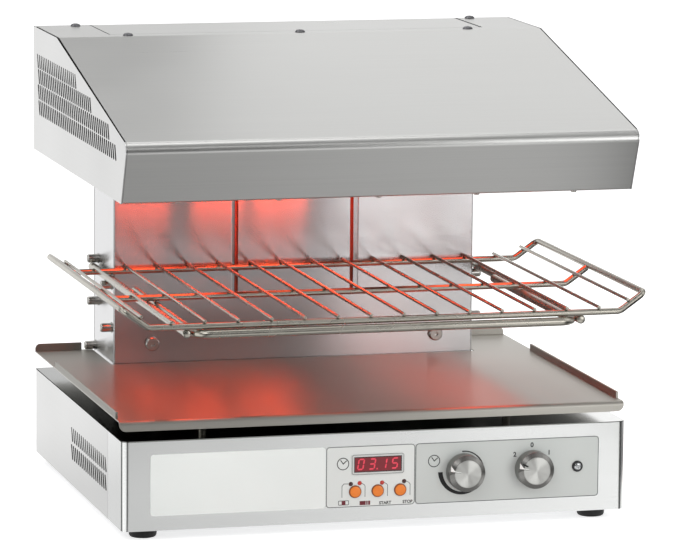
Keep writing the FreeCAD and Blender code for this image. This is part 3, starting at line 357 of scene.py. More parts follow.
@dataclass(frozen=True)
class BrushedSheet(Finish):
    """Stainless sheet with a brushed grain, fine scratches and a faint cloud of handling."""

    grain: Grain = Grain.ACROSS
    stretch: float = 0.5
    metal: float = 1.0
    depth: float = 0.002
    contrast: float = 0.025

    def paint(self, graph: Graph) -> None:
        """Builds the long streaks in tone, gloss and height.

        Args:
            graph: The material's node tree.
        """
        run = graph.place(self.grain.scale(4.0, 500.0))
        streaks = graph.noise(run, 1.0, 5.0)
        fine = graph.noise(run, 4.0, 2.0)
        graph.brush(self.grain, self.stretch)
        cloud = graph.noise(graph.place((1, 1, 1)), 5.0, 2.0)
        graph.fix(Metallic=self.metal)
        tones = shades(self.colour, 1 - self.contrast, 1 + self.contrast)
        graph.feed("Base Color", graph.tints(streaks, *tones))
        mixed = graph.tree.nodes.new("ShaderNodeMath")
        mixed.operation = "MULTIPLY_ADD"
        mixed.inputs[1].default_value = 0.04
        graph.tree.links.new(streaks, mixed.inputs[0])
        graph.tree.links.new(graph.span(cloud, self.roughness - 0.04, self.roughness), mixed.inputs[2])
        graph.feed("Roughness", mixed.outputs["Value"])
        graph.bump(fine, self.depth)


@dataclass(frozen=True)
class BrightBar(Finish):
    """Bright drawn bar, with faint marks of use."""

    def paint(self, graph: Graph) -> None:
        """Builds a soft mottle in tone and gloss.

        Args:
            graph: The material's node tree.
        """
        marks = graph.noise(graph.place((1, 1, 1)), 30.0, 2.0)
        graph.fix(Metallic=1.0)
        graph.feed("Base Color", graph.tints(marks, *shades(self.colour, 0.9, 1.04)))
        graph.feed("Roughness", graph.span(marks, self.roughness - 0.03, self.roughness + 0.04))


@dataclass(frozen=True)
class ZincSheet(Finish):
    """Galvanised sheet with its spangle."""

    def paint(self, graph: Graph) -> None:
        """Builds the spangle's cells in tone and gloss.

        Args:
            graph: The material's node tree.
        """
        cells = graph.cells(graph.place((1, 1, 1)), 110.0)
        graph.fix(Metallic=0.9)
        graph.feed("Base Color", graph.tints(cells, *shades(self.colour, 0.8, 1.1)))
        graph.feed("Roughness", graph.span(cells, self.roughness - 0.1, self.roughness + 0.12, 0.0, 1.0))


@dataclass(frozen=True)
class TurnedFace(Finish):
    """Metal turned on a lathe, with its rings and a fan of light across them."""

    centre: Place = (0.0, 0.0, 0.0)
    rings: float = 260.0
    stretch: float = 0.8

    def paint(self, graph: Graph) -> None:
        """Builds the rings about the piece's own axis.

        Args:
            graph: The material's node tree.
        """
        rings = graph.rings(graph.place((1, 1, 1), self.centre), self.rings)
        graph.fix(Metallic=1.0)
        graph.turn(self.centre, self.stretch)
        graph.feed("Base Color", graph.tints(rings, *shades(self.colour, 0.9, 1.05)))
        graph.feed("Roughness", graph.span(rings, self.roughness - 0.04, self.roughness + 0.05, 0.0, 1.0))
        graph.bump(rings, 0.004, 0.35)


@dataclass(frozen=True)
class PrintedFoil(Finish):
    """Satin foil or coated plate, with a very fine tooth."""

    metal: float = 0.0

    def paint(self, graph: Graph) -> None:
        """Builds the tooth in tone, gloss and height.

        Args:
            graph: The material's node tree.
        """
        tooth = graph.noise(graph.place((1, 1, 1)), 900.0, 2.0)
        cloud = graph.noise(graph.place((1, 1, 1)), 7.0, 2.0)
        graph.fix(Metallic=self.metal)
        graph.feed("Base Color", graph.tints(cloud, *shades(self.colour, 0.96, 1.03)))
        graph.feed("Roughness", graph.span(tooth, self.roughness - 0.05, self.roughness + 0.07))
        graph.bump(tooth, 0.01, 0.3)


@dataclass(frozen=True)
class Moulding(Finish):
    """Moulded plastic, rubber or ceramic, with its skin's texture."""

    tooth: float = 600.0
    relief: float = 0.02
    coat: float = 0.0

    def paint(self, graph: Graph) -> None:
        """Builds the skin's texture and a faint wear in tone.

        Args:
            graph: The material's node tree.
        """
        skin = graph.noise(graph.place((1, 1, 1)), self.tooth, 3.0)
        wear = graph.noise(graph.place((1, 1, 1)), 60.0, 3.0)
        graph.fix(Coat_Weight=self.coat, Coat_Roughness=0.08)
        graph.feed("Base Color", graph.tints(wear, *shades(self.colour, 0.9, 1.08)))
        graph.feed("Roughness", graph.span(skin, self.roughness - 0.06, self.roughness + 0.08))
        graph.bump(skin, self.relief, 0.4)


@dataclass(frozen=True)
class LitPlastic(Finish):
    """Tinted glossy plastic with light behind it."""

    glow: str = "ff2020"
    strength: float = 1.0
    spread: float = 30.0
    coat: float = 0.4

    def paint(self, graph: Graph) -> None:
        """Builds a glow that is uneven, as a lamp behind a tinted pane is.

        Args:
            graph: The material's node tree.
        """
        patch = graph.noise(graph.place((1, 1, 1)), self.spread, 2.0)
        graph.fix(Coat_Weight=self.coat, Coat_Roughness=0.05, Emission_Strength=self.strength)
        graph.feed("Base Color", graph.tints(patch, *shades(self.colour, 0.7, 1.2)))
        graph.feed("Roughness", graph.span(patch, self.roughness, self.roughness + 0.08))
        graph.feed("Emission Color", graph.tints(patch, *shades(linear(self.glow), 0.75, 1.15)))


@dataclass(frozen=True)
class BoardFace(Finish):
    """Green circuit board with its tracks."""

    def paint(self, graph: Graph) -> None:
        """Builds tracks of a lighter green.

        Args:
            graph: The material's node tree.
        """
        tracks = graph.cells(graph.place((1, 1, 1)), 260.0)
        graph.feed("Base Color", graph.tints(tracks, *shades(self.colour, 0.7, 1.5)))
        graph.feed("Roughness", graph.span(tracks, self.roughness, self.roughness + 0.15, 0.0, 1.0))


SATIN_ACROSS = BrushedSheet("satin_across", "satin_steel", "cfcfcd", 0.3, Grain.ACROSS, 0.4)
SATIN_DEEP = BrushedSheet("satin_deep", "satin_steel", "d4d4d3", 0.3, Grain.DEEP, 0.3)
COLUMN_STEEL = BrushedSheet("satin_column", "satin_steel", "c9c9ca", 0.21, Grain.ACROSS, 1.0, 0.97)
TRAY_STEEL = BrushedSheet("satin_tray", "satin_steel", "a9a69f", 0.34, Grain.ACROSS, 0.8, 0.98)
FRONT_STEEL = BrushedSheet("front_across", "front_steel", "d6d7d6", 0.22, Grain.ACROSS, 0.5)
# Polished steel for the base top, darker than the other steels: painted shade under the tray.
SHADED_TOP_POLISH = BrushedSheet("polished_top_painted_shade", "polished_steel", "7c7d7b", 0.12, Grain.ACROSS, 0.2)
BAR = BrightBar("bright_bar", "bright_rod", "b4b0a6", 0.26)
FASTENER = BrightBar("bright_fastener_steel", "bright_fastener", "c4c2be", 0.22)
# A darker copy of the fastener steel for the hood's screw heads: painted shade.
SHADED_FASTENER = BrightBar("shaded_fastener_steel", "bright_fastener", "77777a", 0.3)
# Near-black paint for the cut edges round vents and along seams: painted shade.
PAINTED_CUT_SHADE = BrightBar("painted_shade_in_cuts", "satin_steel", "060606", 0.8)
ZINC = ZincSheet("zinc", "galvanised_steel", "b4b7ba", 0.42)
PAN_STEEL = BrushedSheet("pan_steel", "satin_steel", "6a6a68", 0.4, Grain.DEEP, 0.3)
REFLECTOR = BrushedSheet("mirror_reflector", "reflector_bright", "e4e4e2", 0.16, Grain.DEEP, 0.2)
# Red-brown paint for the strips behind the column's panel gaps: painted red glow of the heaters.
RED_GLOW_PAINT = PrintedFoil("painted_red_glow_steel", "satin_steel", "b8563c", 0.5, 0.2)
PALE_PLATE = PrintedFoil("pale_front_plate", "pale_plate", "eaeeeb", 0.42, 0.1)
FOIL = PrintedFoil("control_foil", "panel_foil", "dcdfdc", 0.4, 0.15)
DIAL_FOIL = PrintedFoil("dial_foil", "panel_foil", "c6cac7", 0.4, 0.2)
INK = PrintedFoil("dark_ink", "panel_foil", "262828", 0.6)
LINE_INK = PrintedFoil("grey_line_ink", "panel_foil", "5c605f", 0.6)
BLACK_INK = PrintedFoil("black_ink", "panel_foil", "101010", 0.6)
RED_INK = PrintedFoil("dark_red_ink", "panel_foil", "6a1c28", 0.6)
BEZEL = Moulding("bezel_moulding", "bezel_plastic", "c9cbc9", 0.35, 900.0, 0.01)
# Darker copy of the bezel moulding for a thin line round its outer edge: painted shade.
BEZEL_EDGE_SHADE = Moulding("bezel_painted_edge_shade", "bezel_plastic", "7e827f", 0.35, 900.0, 0.01)
WINDOW = LitPlastic("digit_window", "display_red", "2a0408", 0.3, "8c0c20", 0.6, 25.0, 0.1)
DIGITS = LitPlastic("lit_digits", "display_red", "5a0a10", 0.3, "ff3a55", 0.85, 200.0)
KEY_ORANGE = Moulding("key_orange", "orange_plastic", "e57a12", 0.34, 700.0, 0.01, 0.3)
# Darker copy of the key orange for the keys' sides: painted shade.
KEY_SIDE_SHADE = Moulding("key_painted_side_shade", "orange_plastic", "8a4312", 0.4, 700.0, 0.01)
LENS_DARK = LitPlastic("lens_dark", "indicator_red", "3c0c0c", 0.2, "200000", 0.1, 200.0)
LENS_LIT = LitPlastic("lens_lit", "indicator_red", "8c1c14", 0.2, "e03a24", 0.3, 200.0)
# The pointer wedge's facets: pale as a painted highlight on the upper one, dark as painted shade on the lower
# one.
WEDGE_PAINTED_HIGHLIGHT = PrintedFoil("wedge_painted_highlight", "spun_aluminium", "f2f2ef", 0.3, 0.2)
WEDGE_PAINTED_SHADE = PrintedFoil("wedge_painted_shade", "spun_aluminium", "6c6d69", 0.35, 0.4)
BLACK = Moulding("black_moulding", "black_plastic", "17181a", 0.38)
RUBBER = Moulding("black_rubber", "rubber_black", "131313", 0.6, 350.0, 0.05)
BOARD = BoardFace("board_laminate", "board_green", "1d5a34", 0.35)
RELAY = Moulding("relay_case", "relay_plastic", "1f4fa0", 0.35)
CERAMIC = Moulding("steatite", "terminal_ceramic", "e6e0d2", 0.5, 250.0, 0.04)
WIRE = Moulding("wire_sleeve", "wire_insulation", "a33a22", 0.45)
LAMP = BrightBar("lamp_lens", "lamp_silver", "c3c5c6", 0.18)
QUARTZ = LitPlastic("hot_quartz_tube", "hot_quartz", "c8a090", 0.1, "ff5a1e", 2.2, 60.0)


class Piece:
    """A new piece in the making, shaped in millimetres in the frame's own place."""

    def __init__(self, name: str, body: Body, finish: Finish) -> None:
        """Starts an empty piece.

        Args:
            name: The piece's name.
            body: The body that it rides on.
            finish: Its finish.
        """
        self.name = name
        self.body = body
        self.finish = finish
        self.bm = bmesh.new()
        self.made_here = True
        self.cut_shade_finish: Finish | None = None

    def copy(self, node: bpy.types.Object) -> "Piece":
        """Starts from a frame node's mesh, merged and with its flats made whole.

        Args:
            node: The node's object, which stays as it is.

        Returns:
            The piece itself.
        """
        self.made_here = False
        self.bm.from_mesh(node.data)
        bmesh.ops.scale(self.bm, vec=(1000, 1000, 1000), verts=self.bm.verts)
        bmesh.ops.remove_doubles(self.bm, verts=self.bm.verts, dist=0.002)
        flat = math.radians(0.4)
        bmesh.ops.dissolve_limit(self.bm, angle_limit=flat, verts=self.bm.verts, edges=self.bm.edges)
        return self

    def round_bend(self, before: Point, corner: Point, after: Point, old: float, new: float) -> "Piece":
        """Opens a folded sheet's bend out to a larger radius, along the same two flats.

        Args:
            before: The Y and Z of a point on the first flat's outer face.
            corner: The Y and Z where the flats' outer faces would meet.
            after: The Y and Z of a point on the second flat's outer face.
            old: The bend's outer radius.
            new: Its new outer radius.

        Returns:
            The piece itself.
        """
        start, meet, end = (Vector((0, *point)) for point in (before, corner, after))
        first, second = (start - meet).normalized(), (end - meet).normalized()
        inward = (first + second).normalized()
        opening = math.sin(first.angle(second) / 2)
        pivot, onward = (meet + inward * (radius / opening) for radius in (old, new))
        for vert in self.bm.verts:
            spoke = Vector((0, vert.co.y, vert.co.z)) - pivot
            near = old - 3.0 < spoke.length < old + 0.02
            if near and -spoke.normalized().dot(inward) > opening - 0.02:
                moved = onward + spoke.normalized() * (spoke.length + new - old)
                vert.co = (vert.co.x, moved.y, moved.z)
        return self

    def draw_in(self, reach: float, amount: float, lowest: float, both: bool = True) -> "Piece":
        """Draws the ends of a sheet in, so that the seam beside each shows.

        Args:
            reach: The distance from the middle beyond which the sheet is an end.
            amount: How far the ends go in.
            lowest: The height below which nothing moves.
            both: Whether the right end moves as well as the left one.

        Returns:
            The piece itself.
        """
        for vert in self.bm.verts:
            is_end = vert.co.x < -reach or (both and vert.co.x > reach)
            if is_end and vert.co.z > lowest:
                vert.co.x -= math.copysign(amount, vert.co.x)
        return self

    def widen_vents(self, outer: float, area: Area, amount: float = 0.8) -> "Piece":
        """Widens the vents of a side sheet.

        Args:
            outer: The distance of the sheet's outer face from the middle.
            area: The lowest Y and Z and the highest Y and Z of the vents.
            amount: How far each vent's edge moves.

        Returns:
            The piece itself.
        """
        low_y, low_z, high_y, high_z = area
        moves = []
        for vert in self.bm.verts:
            x, y, z = vert.co
            if abs(x) > outer - 1.25 and low_y < y < high_y and low_z < z < high_z:
                walls = [face.normal for face in vert.link_faces if abs(face.normal.x) < 0.4]
                moves.append((vert, -sum(walls, Vector()).normalized() * amount))
        for vert, move in moves:
            vert.co += move
        return self

    def paint_shade_in_cuts(self, outer: float, depth: float, lowest: float, front: float = -1000.0) -> "Piece":
        """Paints shade onto the cut edges of a side sheet, round its vents and along its seams, in near
        black: painted shade for the dark inside the vents and seams.

        Args:
            outer: The distance of the sheet's outer face from the middle.
            depth: How far in from that face the dark edges reach.
            lowest: The height below which edges stay bright.
            front: The Y in front of which edges stay bright.

        Returns:
            The piece itself.
        """
        self.cut_shade_finish = PAINTED_CUT_SHADE
        for face in self.bm.faces:
            centre = face.calc_center_median()
            within = outer - depth < abs(centre.x) < outer - 0.01 and centre.z > lowest
            if within and centre.y > front and abs(face.normal.x) < 0.4:
                face.material_index = 1
        return self

    def lathe(self, outline: list[Point], seat: Place, axis: Place, steps: int = 40) -> "Piece":
        """Spins a half outline into a round solid.

        Args:
            outline: Pairs of radius and height, from the seat outwards.
            seat: The point on the axis at height zero.
            axis: The direction of the heights.
            steps: The number of steps round.

        Returns:
            The piece itself.
        """
        place = seated(Vector(seat), Vector(axis))
        verts = [self.bm.verts.new(place @ Vector((radius, 0, height))) for radius, height in outline]
        edges = [self.bm.edges.new(pair) for pair in zip(verts, verts[1:])]
        bmesh.ops.spin(
            self.bm, geom=verts + edges, cent=seat, axis=Vector(axis), angle=math.tau, steps=steps,
            use_merge=True, use_duplicate=False,
        )
        return self

    def rod(self, points: list[Place], bends: list[float], radius: float, sides: int = 18,
            closed: bool = False) -> "Piece":
        """Draws a round bar along straight runs and bends.

        Args:
            points: The corners of its middle line.
            bends: The bend radius at each inner corner.
            radius: The bar's radius.
            sides: The number of its sides.
            closed: Whether the last run meets the first.

        Returns:
            The piece itself.
        """
        line = [Vector(point) for point in points]
        heading = (line[1] - line[0]).normalized()
        ring = bmesh.ops.create_circle(
            self.bm, cap_ends=False, radius=radius, segments=sides, matrix=seated(line[0], heading)
        )["verts"]
        first = edges = list({edge for vert in ring for edge in vert.link_edges})
        at = line[0]
        for corner, following, bend in zip(line[1:], line[2:], bends):
            onward = (following - corner).normalized()
            angle = heading.angle(onward)
            reach = bend * math.tan(angle / 2)
            edges = self.draw_out(edges, corner - heading * reach - at)
            axis = heading.cross(onward).normalized()
            centre = corner - heading * reach + axis.cross(heading) * bend
            spun = bmesh.ops.spin(
                self.bm, geom=edges, cent=centre, axis=axis, angle=angle,
                steps=max(3, round(math.degrees(angle) / 9)), use_duplicate=False,
            )["geom_last"]
            edges = [item for item in spun if isinstance(item, bmesh.types.BMEdge)]
            at = corner + onward * reach
            heading = onward
        if closed:
            bmesh.ops.bridge_loops(self.bm, edges=edges + first)
        else:
            edges = self.draw_out(edges, line[-1] - at)
            for loop in (first, edges):
                bmesh.ops.contextual_create(self.bm, geom=loop)
        return self

    def draw_out(self, edges: list[bmesh.types.BMEdge], move: Vector) -> list[bmesh.types.BMEdge]:
        """Extrudes a ring of edges along a straight run.

        Args:
            edges: The ring.
            move: The run.

        Returns:
            The ring at the run's end.
        """
        made = bmesh.ops.extrude_edge_only(self.bm, edges=edges)["geom"]
        verts = [item for item in made if isinstance(item, bmesh.types.BMVert)]
        bmesh.ops.translate(self.bm, vec=move, verts=verts)
        return [item for item in made if isinstance(item, bmesh.types.BMEdge) and
                all(vert in verts for vert in item.verts)]

    def face(self, corners: list[Point], front: float, rounding: float = 0.0) -> bmesh.types.BMFace:
        """Lays a flat face that looks forward.

        Args:
            corners: Its corners as pairs of X and Z.
            front: Its Y.
            rounding: The radius of its corners.

        Returns:
            The face.
        """
        verts = [self.bm.verts.new((x, front, z)) for x, z in corners]
        made = self.bm.faces.new(verts)
        made.normal_update()
        if rounding:
            bevelled = bmesh.ops.bevel(
                self.bm, geom=verts, offset=rounding, offset_type="OFFSET", affect="VERTICES", segments=6,
                profile=0.5, material=-1,
            )
            made = bevelled["verts"][0].link_faces[0] if bevelled["verts"] else made
        return made

    def thicken(self, faces: list[bmesh.types.BMFace], depth: float) -> list[bmesh.types.BMVert]:
        """Draws flat faces back along Y.

        Args:
            faces: The faces.
            depth: How far.

        Returns:
            The moved corners.
        """
        made = bmesh.ops.extrude_face_region(self.bm, geom=faces, use_keep_orig=True)["geom"]
        verts = [item for item in made if isinstance(item, bmesh.types.BMVert)]
        bmesh.ops.translate(self.bm, vec=(0, depth, 0), verts=verts)
        return verts

    def plate(self, corners: list[Point], front: float, depth: float, rounding: float = 0.0) -> "Piece":
        """Adds a flat plate that looks forward."""
        self.thicken([self.face(corners, front, rounding)], depth)
        return self

    def frame(self, corners: list[Point], front: float, depth: float, line: float,
              rounding: float) -> "Piece":
        """Adds a flat frame that looks forward.

        Args:
            corners: The outer corners as pairs of X and Z.
            front: The Y of its face.
            depth: Its thickness.
            line: The width of its sides.
            rounding: The radius of its outer corners.

        Returns:
            The piece itself.
        """
        inner = self.face(corners, front, rounding)
        sides = bmesh.ops.inset_region(
            self.bm, faces=[inner], thickness=line, use_even_offset=True, use_boundary=True
        )["faces"]
        bmesh.ops.delete(self.bm, geom=[inner], context="FACES_ONLY")
        self.thicken(sides, depth)
        return self

    def ring(self, centre: Point, radius: float, front: float, depth: float, line: float) -> "Piece":
        """Adds a flat ring that looks forward.

        Args:
            centre: Its centre as X and Z.
            radius: Its outer radius.
            front: The Y of its face.
            depth: Its thickness.
            line: Its width.

        Returns:
            The piece itself.
        """
        steps = 40
        angles = [math.tau * step / steps for step in range(steps)]
        corners = [(centre[0] + radius * math.cos(a), centre[1] + radius * math.sin(a)) for a in angles]
        return self.frame(corners, front, depth, line, 0.0)

    def stroke(self, points: list[Point], front: float, depth: float, width: float) -> "Piece":
        """Adds a drawn line of even width.

        Args:
            points: Its corners as pairs of X and Z.
            front: The Y of its face.
            depth: Its thickness.
            width: Its width.

        Returns:
            The piece itself.
        """
        for start, end in zip(points, points[1:]):
            run = Vector(end) - Vector(start)
            along = run.normalized() * width / 2
            aside = Vector((-along.y, along.x))
            a, b = Vector(start) - along, Vector(end) + along
            self.plate([tuple(a - aside), tuple(b - aside), tuple(b + aside), tuple(a + aside)], front, depth)
        return self

    def words(self, text: str, centre: Point, front: float, height: float, weight: float = 0.02) -> "Piece":
        """Adds printed characters that look forward.

        Args:
            text: The characters.
            centre: Their middle as X and Z.
            front: The Y of their face.
            height: The height of a capital.
            weight: How far the strokes are widened, as a share of the height.

        Returns:
            The piece itself.
        """
        curve_depth = 0.02
        curve = bpy.data.curves.new("letters", "FONT")
        curve.body = text
        curve.size = height / 0.69
        curve.align_x = curve.align_y = "CENTER"
        curve.extrude = curve_depth
        curve.offset = height * weight
        holder = bpy.data.objects.new("letters", curve)
        bpy.context.scene.collection.objects.link(holder)
        bpy.context.view_layer.update()
        mesh = bpy.data.meshes.new_from_object(holder.evaluated_get(bpy.context.evaluated_depsgraph_get()))
        place = Matrix.Translation((centre[0], front + curve_depth, centre[1]))
        mesh.transform(place @ Matrix.Rotation(math.radians(90), 4, "X"))
        self.bm.from_mesh(mesh)
        bpy.data.objects.remove(holder)
        bpy.data.meshes.remove(mesh)
        return self

    def deliver(self, *stands_for: str, crease: float = 32.0) -> bpy.types.Object:
        """Makes the piece an object in metres, dressed and riding on its body.

        Args:
            stands_for: The frame's nodes that it is shown instead of.
            crease: The angle, in degrees, from which an edge is shaded sharp.

        Returns:
            The finished object.
        """
        if self.made_here:
            bmesh.ops.remove_doubles(self.bm, verts=self.bm.verts, dist=0.0005)
            bmesh.ops.recalc_face_normals(self.bm, faces=self.bm.faces)
        for face in self.bm.faces:
            face.smooth = True
        for edge in self.bm.edges:
            edge.smooth = edge.is_manifold and edge.calc_face_angle(0.0) < math.radians(crease)
        bmesh.ops.scale(self.bm, vec=(MM, MM, MM), verts=self.bm.verts)
        mesh = bpy.data.meshes.new(self.name)
        self.bm.to_mesh(mesh)
        self.bm.free()
        mesh.materials.append(self.finish.material())
        if self.cut_shade_finish:
            mesh.materials.append(self.cut_shade_finish.material())
        made = bpy.data.objects.new(self.name, mesh)
        bpy.context.scene.collection.objects.link(made)
        if not self.made_here:
            made.modifiers.new("flats", "WEIGHTED_NORMAL").keep_sharp = True
        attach(made, self.body.value)
        if stands_for:
            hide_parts(*stands_for)
        LOG.info("%s: %d faces on %s", self.name, len(mesh.polygons), self.body.value)
        return made


@dataclass
class Assembly:
    """A sub-assembly of the grill, with the frame's nodes that it dresses."""

    nodes: dict[str, bpy.types.Object] = field(default_factory=dict)

    def smoothed(self, node: str, body: Body, finish: Finish) -> bpy.types.Object:
        """Shows a folded sheet with its bends shaded smooth.

        Args:
            node: The frame's node.
            body: The body that it rides on.
            finish: Its finish.

        Returns:
            The new object.
        """
        return Piece(f"{node}_sheet", body, finish).copy(self.nodes[node]).deliver(node)

    def dress(self, finish: Finish, *names: str) -> None:
        """Gives frame nodes their finish.

        Args:
            finish: The finish.
            names: The nodes.
        """
        for name in names:
            slots = self.nodes[name].material_slots
            if slots:
                slots[0].material = finish.material()
            else:
                self.nodes[name].data.materials.append(finish.material())
            LOG.info("%s: dressed in %s", name, finish.name)


@dataclass
class Hood(Assembly):
    """The hood with its cover, cheeks, rear panel, beam and screws."""

    half_width: float = 302.0
    sheet: float = 1.2
    top: float = 539.3
    bottom: float = 388.7
    fold: Point = (107.9, 539.3)
    nose: Point = (-277.0, 458.4)
    lip: Point = (-247.6, 388.7)
    nose_bend: float = 9.0
    shown_bend: float = 10.5
    seam_front: float = -258.0
    vent_area: Area = (-240.0, 424.0, 240.0, 502.0)
    seam: float = 1.0
    cheek_depth: float = 16.5
    flap_reach: float = 231.0
    screw_radius: float = 6.2
    screw_height: float = 3.0
    screw_places: tuple[Point, ...] = (
        (-252.0, 236.5), (250.0, 240.0), (-213.0, 117.2), (0.0, 118.0), (211.0, 117.2),
    )

    def screws(self) -> None:
        """Builds the low domed heads on top, each with a round drive recess, in a darker fastener steel as
        painted shade.
        """
        piece = Piece("hood_screw_heads", Body.CABINET, SHADED_FASTENER)
        radius, height = self.screw_radius, self.screw_height
        outline = [
            (radius - 0.3, 0.05), (radius, 0.5), (radius - 0.5, 1.4), (radius * 0.72, height - 0.4),
            (radius * 0.45, height), (radius * 0.34, height), (radius * 0.3, height - 1.4), (0, height - 1.6),
        ]
        for x, y in self.screw_places:
            piece.lathe(outline, (x, y, self.top), (0, 0, 1), 28)
        piece.deliver("hood_top_screws")

    def build(self) -> None:
        """Builds and dresses the hood."""
        bend = (self.fold, self.nose, self.lip, self.nose_bend, self.shown_bend)
        cover = Piece("hood_cover_sheet", Body.CABINET, SATIN_ACROSS).copy(self.nodes["hood_cover"])
        cover.round_bend(*bend).draw_in(self.half_width - 3.0, self.seam, self.nose[1] + 5.0, False)
        cover.deliver("hood_cover")
        for node in ("left_hood_cheek", "right_hood_cheek"):
            cheek = Piece(f"{node}_sheet", Body.CABINET, SATIN_DEEP).copy(self.nodes[node]).round_bend(*bend)
            # The cheek's vent and seam edges get painted shade.
            cheek.paint_shade_in_cuts(self.half_width, self.cheek_depth, self.bottom + self.sheet, self.seam_front)
            cheek.widen_vents(self.half_width, self.vent_area)
            cheek.deliver(node)
        flap = Piece("hood_rear_panel_sheet", Body.CABINET, SATIN_ACROSS).copy(self.nodes["hood_rear_panel"])
        flap.draw_in(self.flap_reach, self.seam, self.top - 3.0).deliver("hood_rear_panel")
        self.dress(ZINC, "hood_beam")
        self.screws()


@dataclass
class Heaters(Assembly):
    """The heater pan with its reflectors, quartz tubes, caps and guard wires."""

    zone_centres: tuple[float, ...] = (-180.0, 0.0, 180.0)
    zone_half_width: float = 55.0
    zone_front: float = -215.0
    zone_back: float = 105.0
    pan_top: float = 391.1
    tube_offset: float = 28.0
    tube_height: float = 19.0
    tube_radius: float = 5.0
    guard_radius: float = 1.25
    guard_overlap: float = 3.0
    guard_pitch: float = 50.0
    guard_count: int = 6

    def tubes(self) -> None:
        """Builds the quartz tubes, a pair over each window."""
        piece = Piece("glowing_tubes", Body.CABINET, QUARTZ)
        length = self.zone_back - self.zone_front
        outline = [(0, 0), (self.tube_radius, 0), (self.tube_radius, length), (0, length)]
        for centre in self.zone_centres:
            for x in (centre - self.tube_offset, centre + self.tube_offset):
                seat = (x, self.zone_front, self.pan_top + self.tube_height)
                piece.lathe(outline, seat, (0, 1, 0), 20)
        piece.deliver("heater_tubes")

    def guards(self) -> None:
        """Builds the wires that lie across the windows."""
        piece = Piece("window_guards", Body.CABINET, BAR)
        reach = self.zone_half_width + self.guard_overlap
        height = self.pan_top + self.guard_radius
        middle = (self.zone_front + self.zone_back) / 2
        for centre in self.zone_centres:
            for index in range(self.guard_count):
                y = middle + (index - (self.guard_count - 1) / 2) * self.guard_pitch
                ends = [(centre - reach, y, height), (centre + reach, y, height)]
                piece.rod(ends, [], self.guard_radius, 10)
        piece.deliver("heater_guard_wires")

    def build(self) -> None:
        """Builds and dresses the heaters."""
        self.dress(PAN_STEEL, "heater_pan")
        self.dress(REFLECTOR, "heater_reflectors")
        self.dress(CERAMIC, "heater_end_caps")
        self.tubes()
        self.guards()


@dataclass
class Column(Assembly):
    """The column with its recessed panel, posts, bolts and side pins."""

    half_width: float = 226.5
    front: float = 134.7
    bolt_x: float = 179.0
    bolt_z: float = 161.0
    bolt_radius: float = 8.5
    bolt_height: float = 6.0
    ground_x: tuple[float, float] = (66.0, 83.0)
    ground_z: tuple[float, float] = (217.0, 398.0)
    ground_y: float = 143.3
    ground_sheet: float = 0.6
    pin_radius: float = 5.3
    pin_length: float = 14.0
    collar_radius: float = 6.3
    pin_places: tuple[Point, ...] = (
        (224.0, 254.2), (224.0, 201.7), (148.0, 233.0), (148.0, 180.5), (240.0, 143.8),
    )

    def bolts(self) -> None:
        """Builds the two machined heads low on the column's front."""
        piece = Piece("column_bolt_heads", Body.CABINET, FASTENER)
        radius, height = self.bolt_radius, self.bolt_height
        outline = [
            (0, 0), (radius, 0.02), (radius, height - 1.6), (radius - 0.5, height - 0.6),
            (radius - 1.4, height), (2.6, height), (2.4, height - 2.4), (0, height - 2.6),
        ]
        for x in (-self.bolt_x, self.bolt_x):
            piece.lathe(outline, (x, self.front, self.bolt_z), (0, -1, 0), 36)
        piece.deliver("column_bolts")

    def pins(self) -> None:
        """Builds the round-nosed pins that the carrier hangs on."""
        piece = Piece("support_pins", Body.CABINET, FASTENER)
        radius, length = self.pin_radius, self.pin_length
        nose = [(radius - 2.5 + 2.5 * math.cos(a), length - 2.5 + 2.5 * math.sin(a))
                for a in (math.radians(15 * step) for step in range(7))]
        collar = [(0, 0.0), (self.collar_radius, 0.0), (self.collar_radius, 0.9), (radius, 1.0)]
        outline = collar + nose + [(0, length)]
        for y, z in self.pin_places:
            for side in (-1, 1):
                piece.lathe(outline, (side * self.half_width, y, z), (side, 0, 0), 32)
        piece.deliver("side_pins")

    def gap_grounds(self) -> None:
        """Builds the narrow strips seen through the gaps beside the recessed panel, painted red-brown:
        painted glow of the heaters' red light in the gaps.
        """
        piece = Piece("panel_gap_grounds", Body.CABINET, RED_GLOW_PAINT)
        (x0, x1), (z0, z1) = self.ground_x, self.ground_z
        for side in (-1, 1):
            corners = [(side * x0, z0), (side * x1, z0), (side * x1, z1), (side * x0, z1)]
            piece.plate(corners, self.ground_y, self.ground_sheet)
        piece.deliver()

    def build(self) -> None:
        """Builds and dresses the column."""
        self.smoothed("column_shell", Body.CABINET, COLUMN_STEEL)
        self.smoothed("column_centre_panel", Body.CABINET, COLUMN_STEEL)
        self.gap_grounds()
        self.dress(SATIN_ACROSS, "rear_cover")
        self.dress(ZINC, "column_posts", "panel_rails")
        self.bolts()
        self.pins()


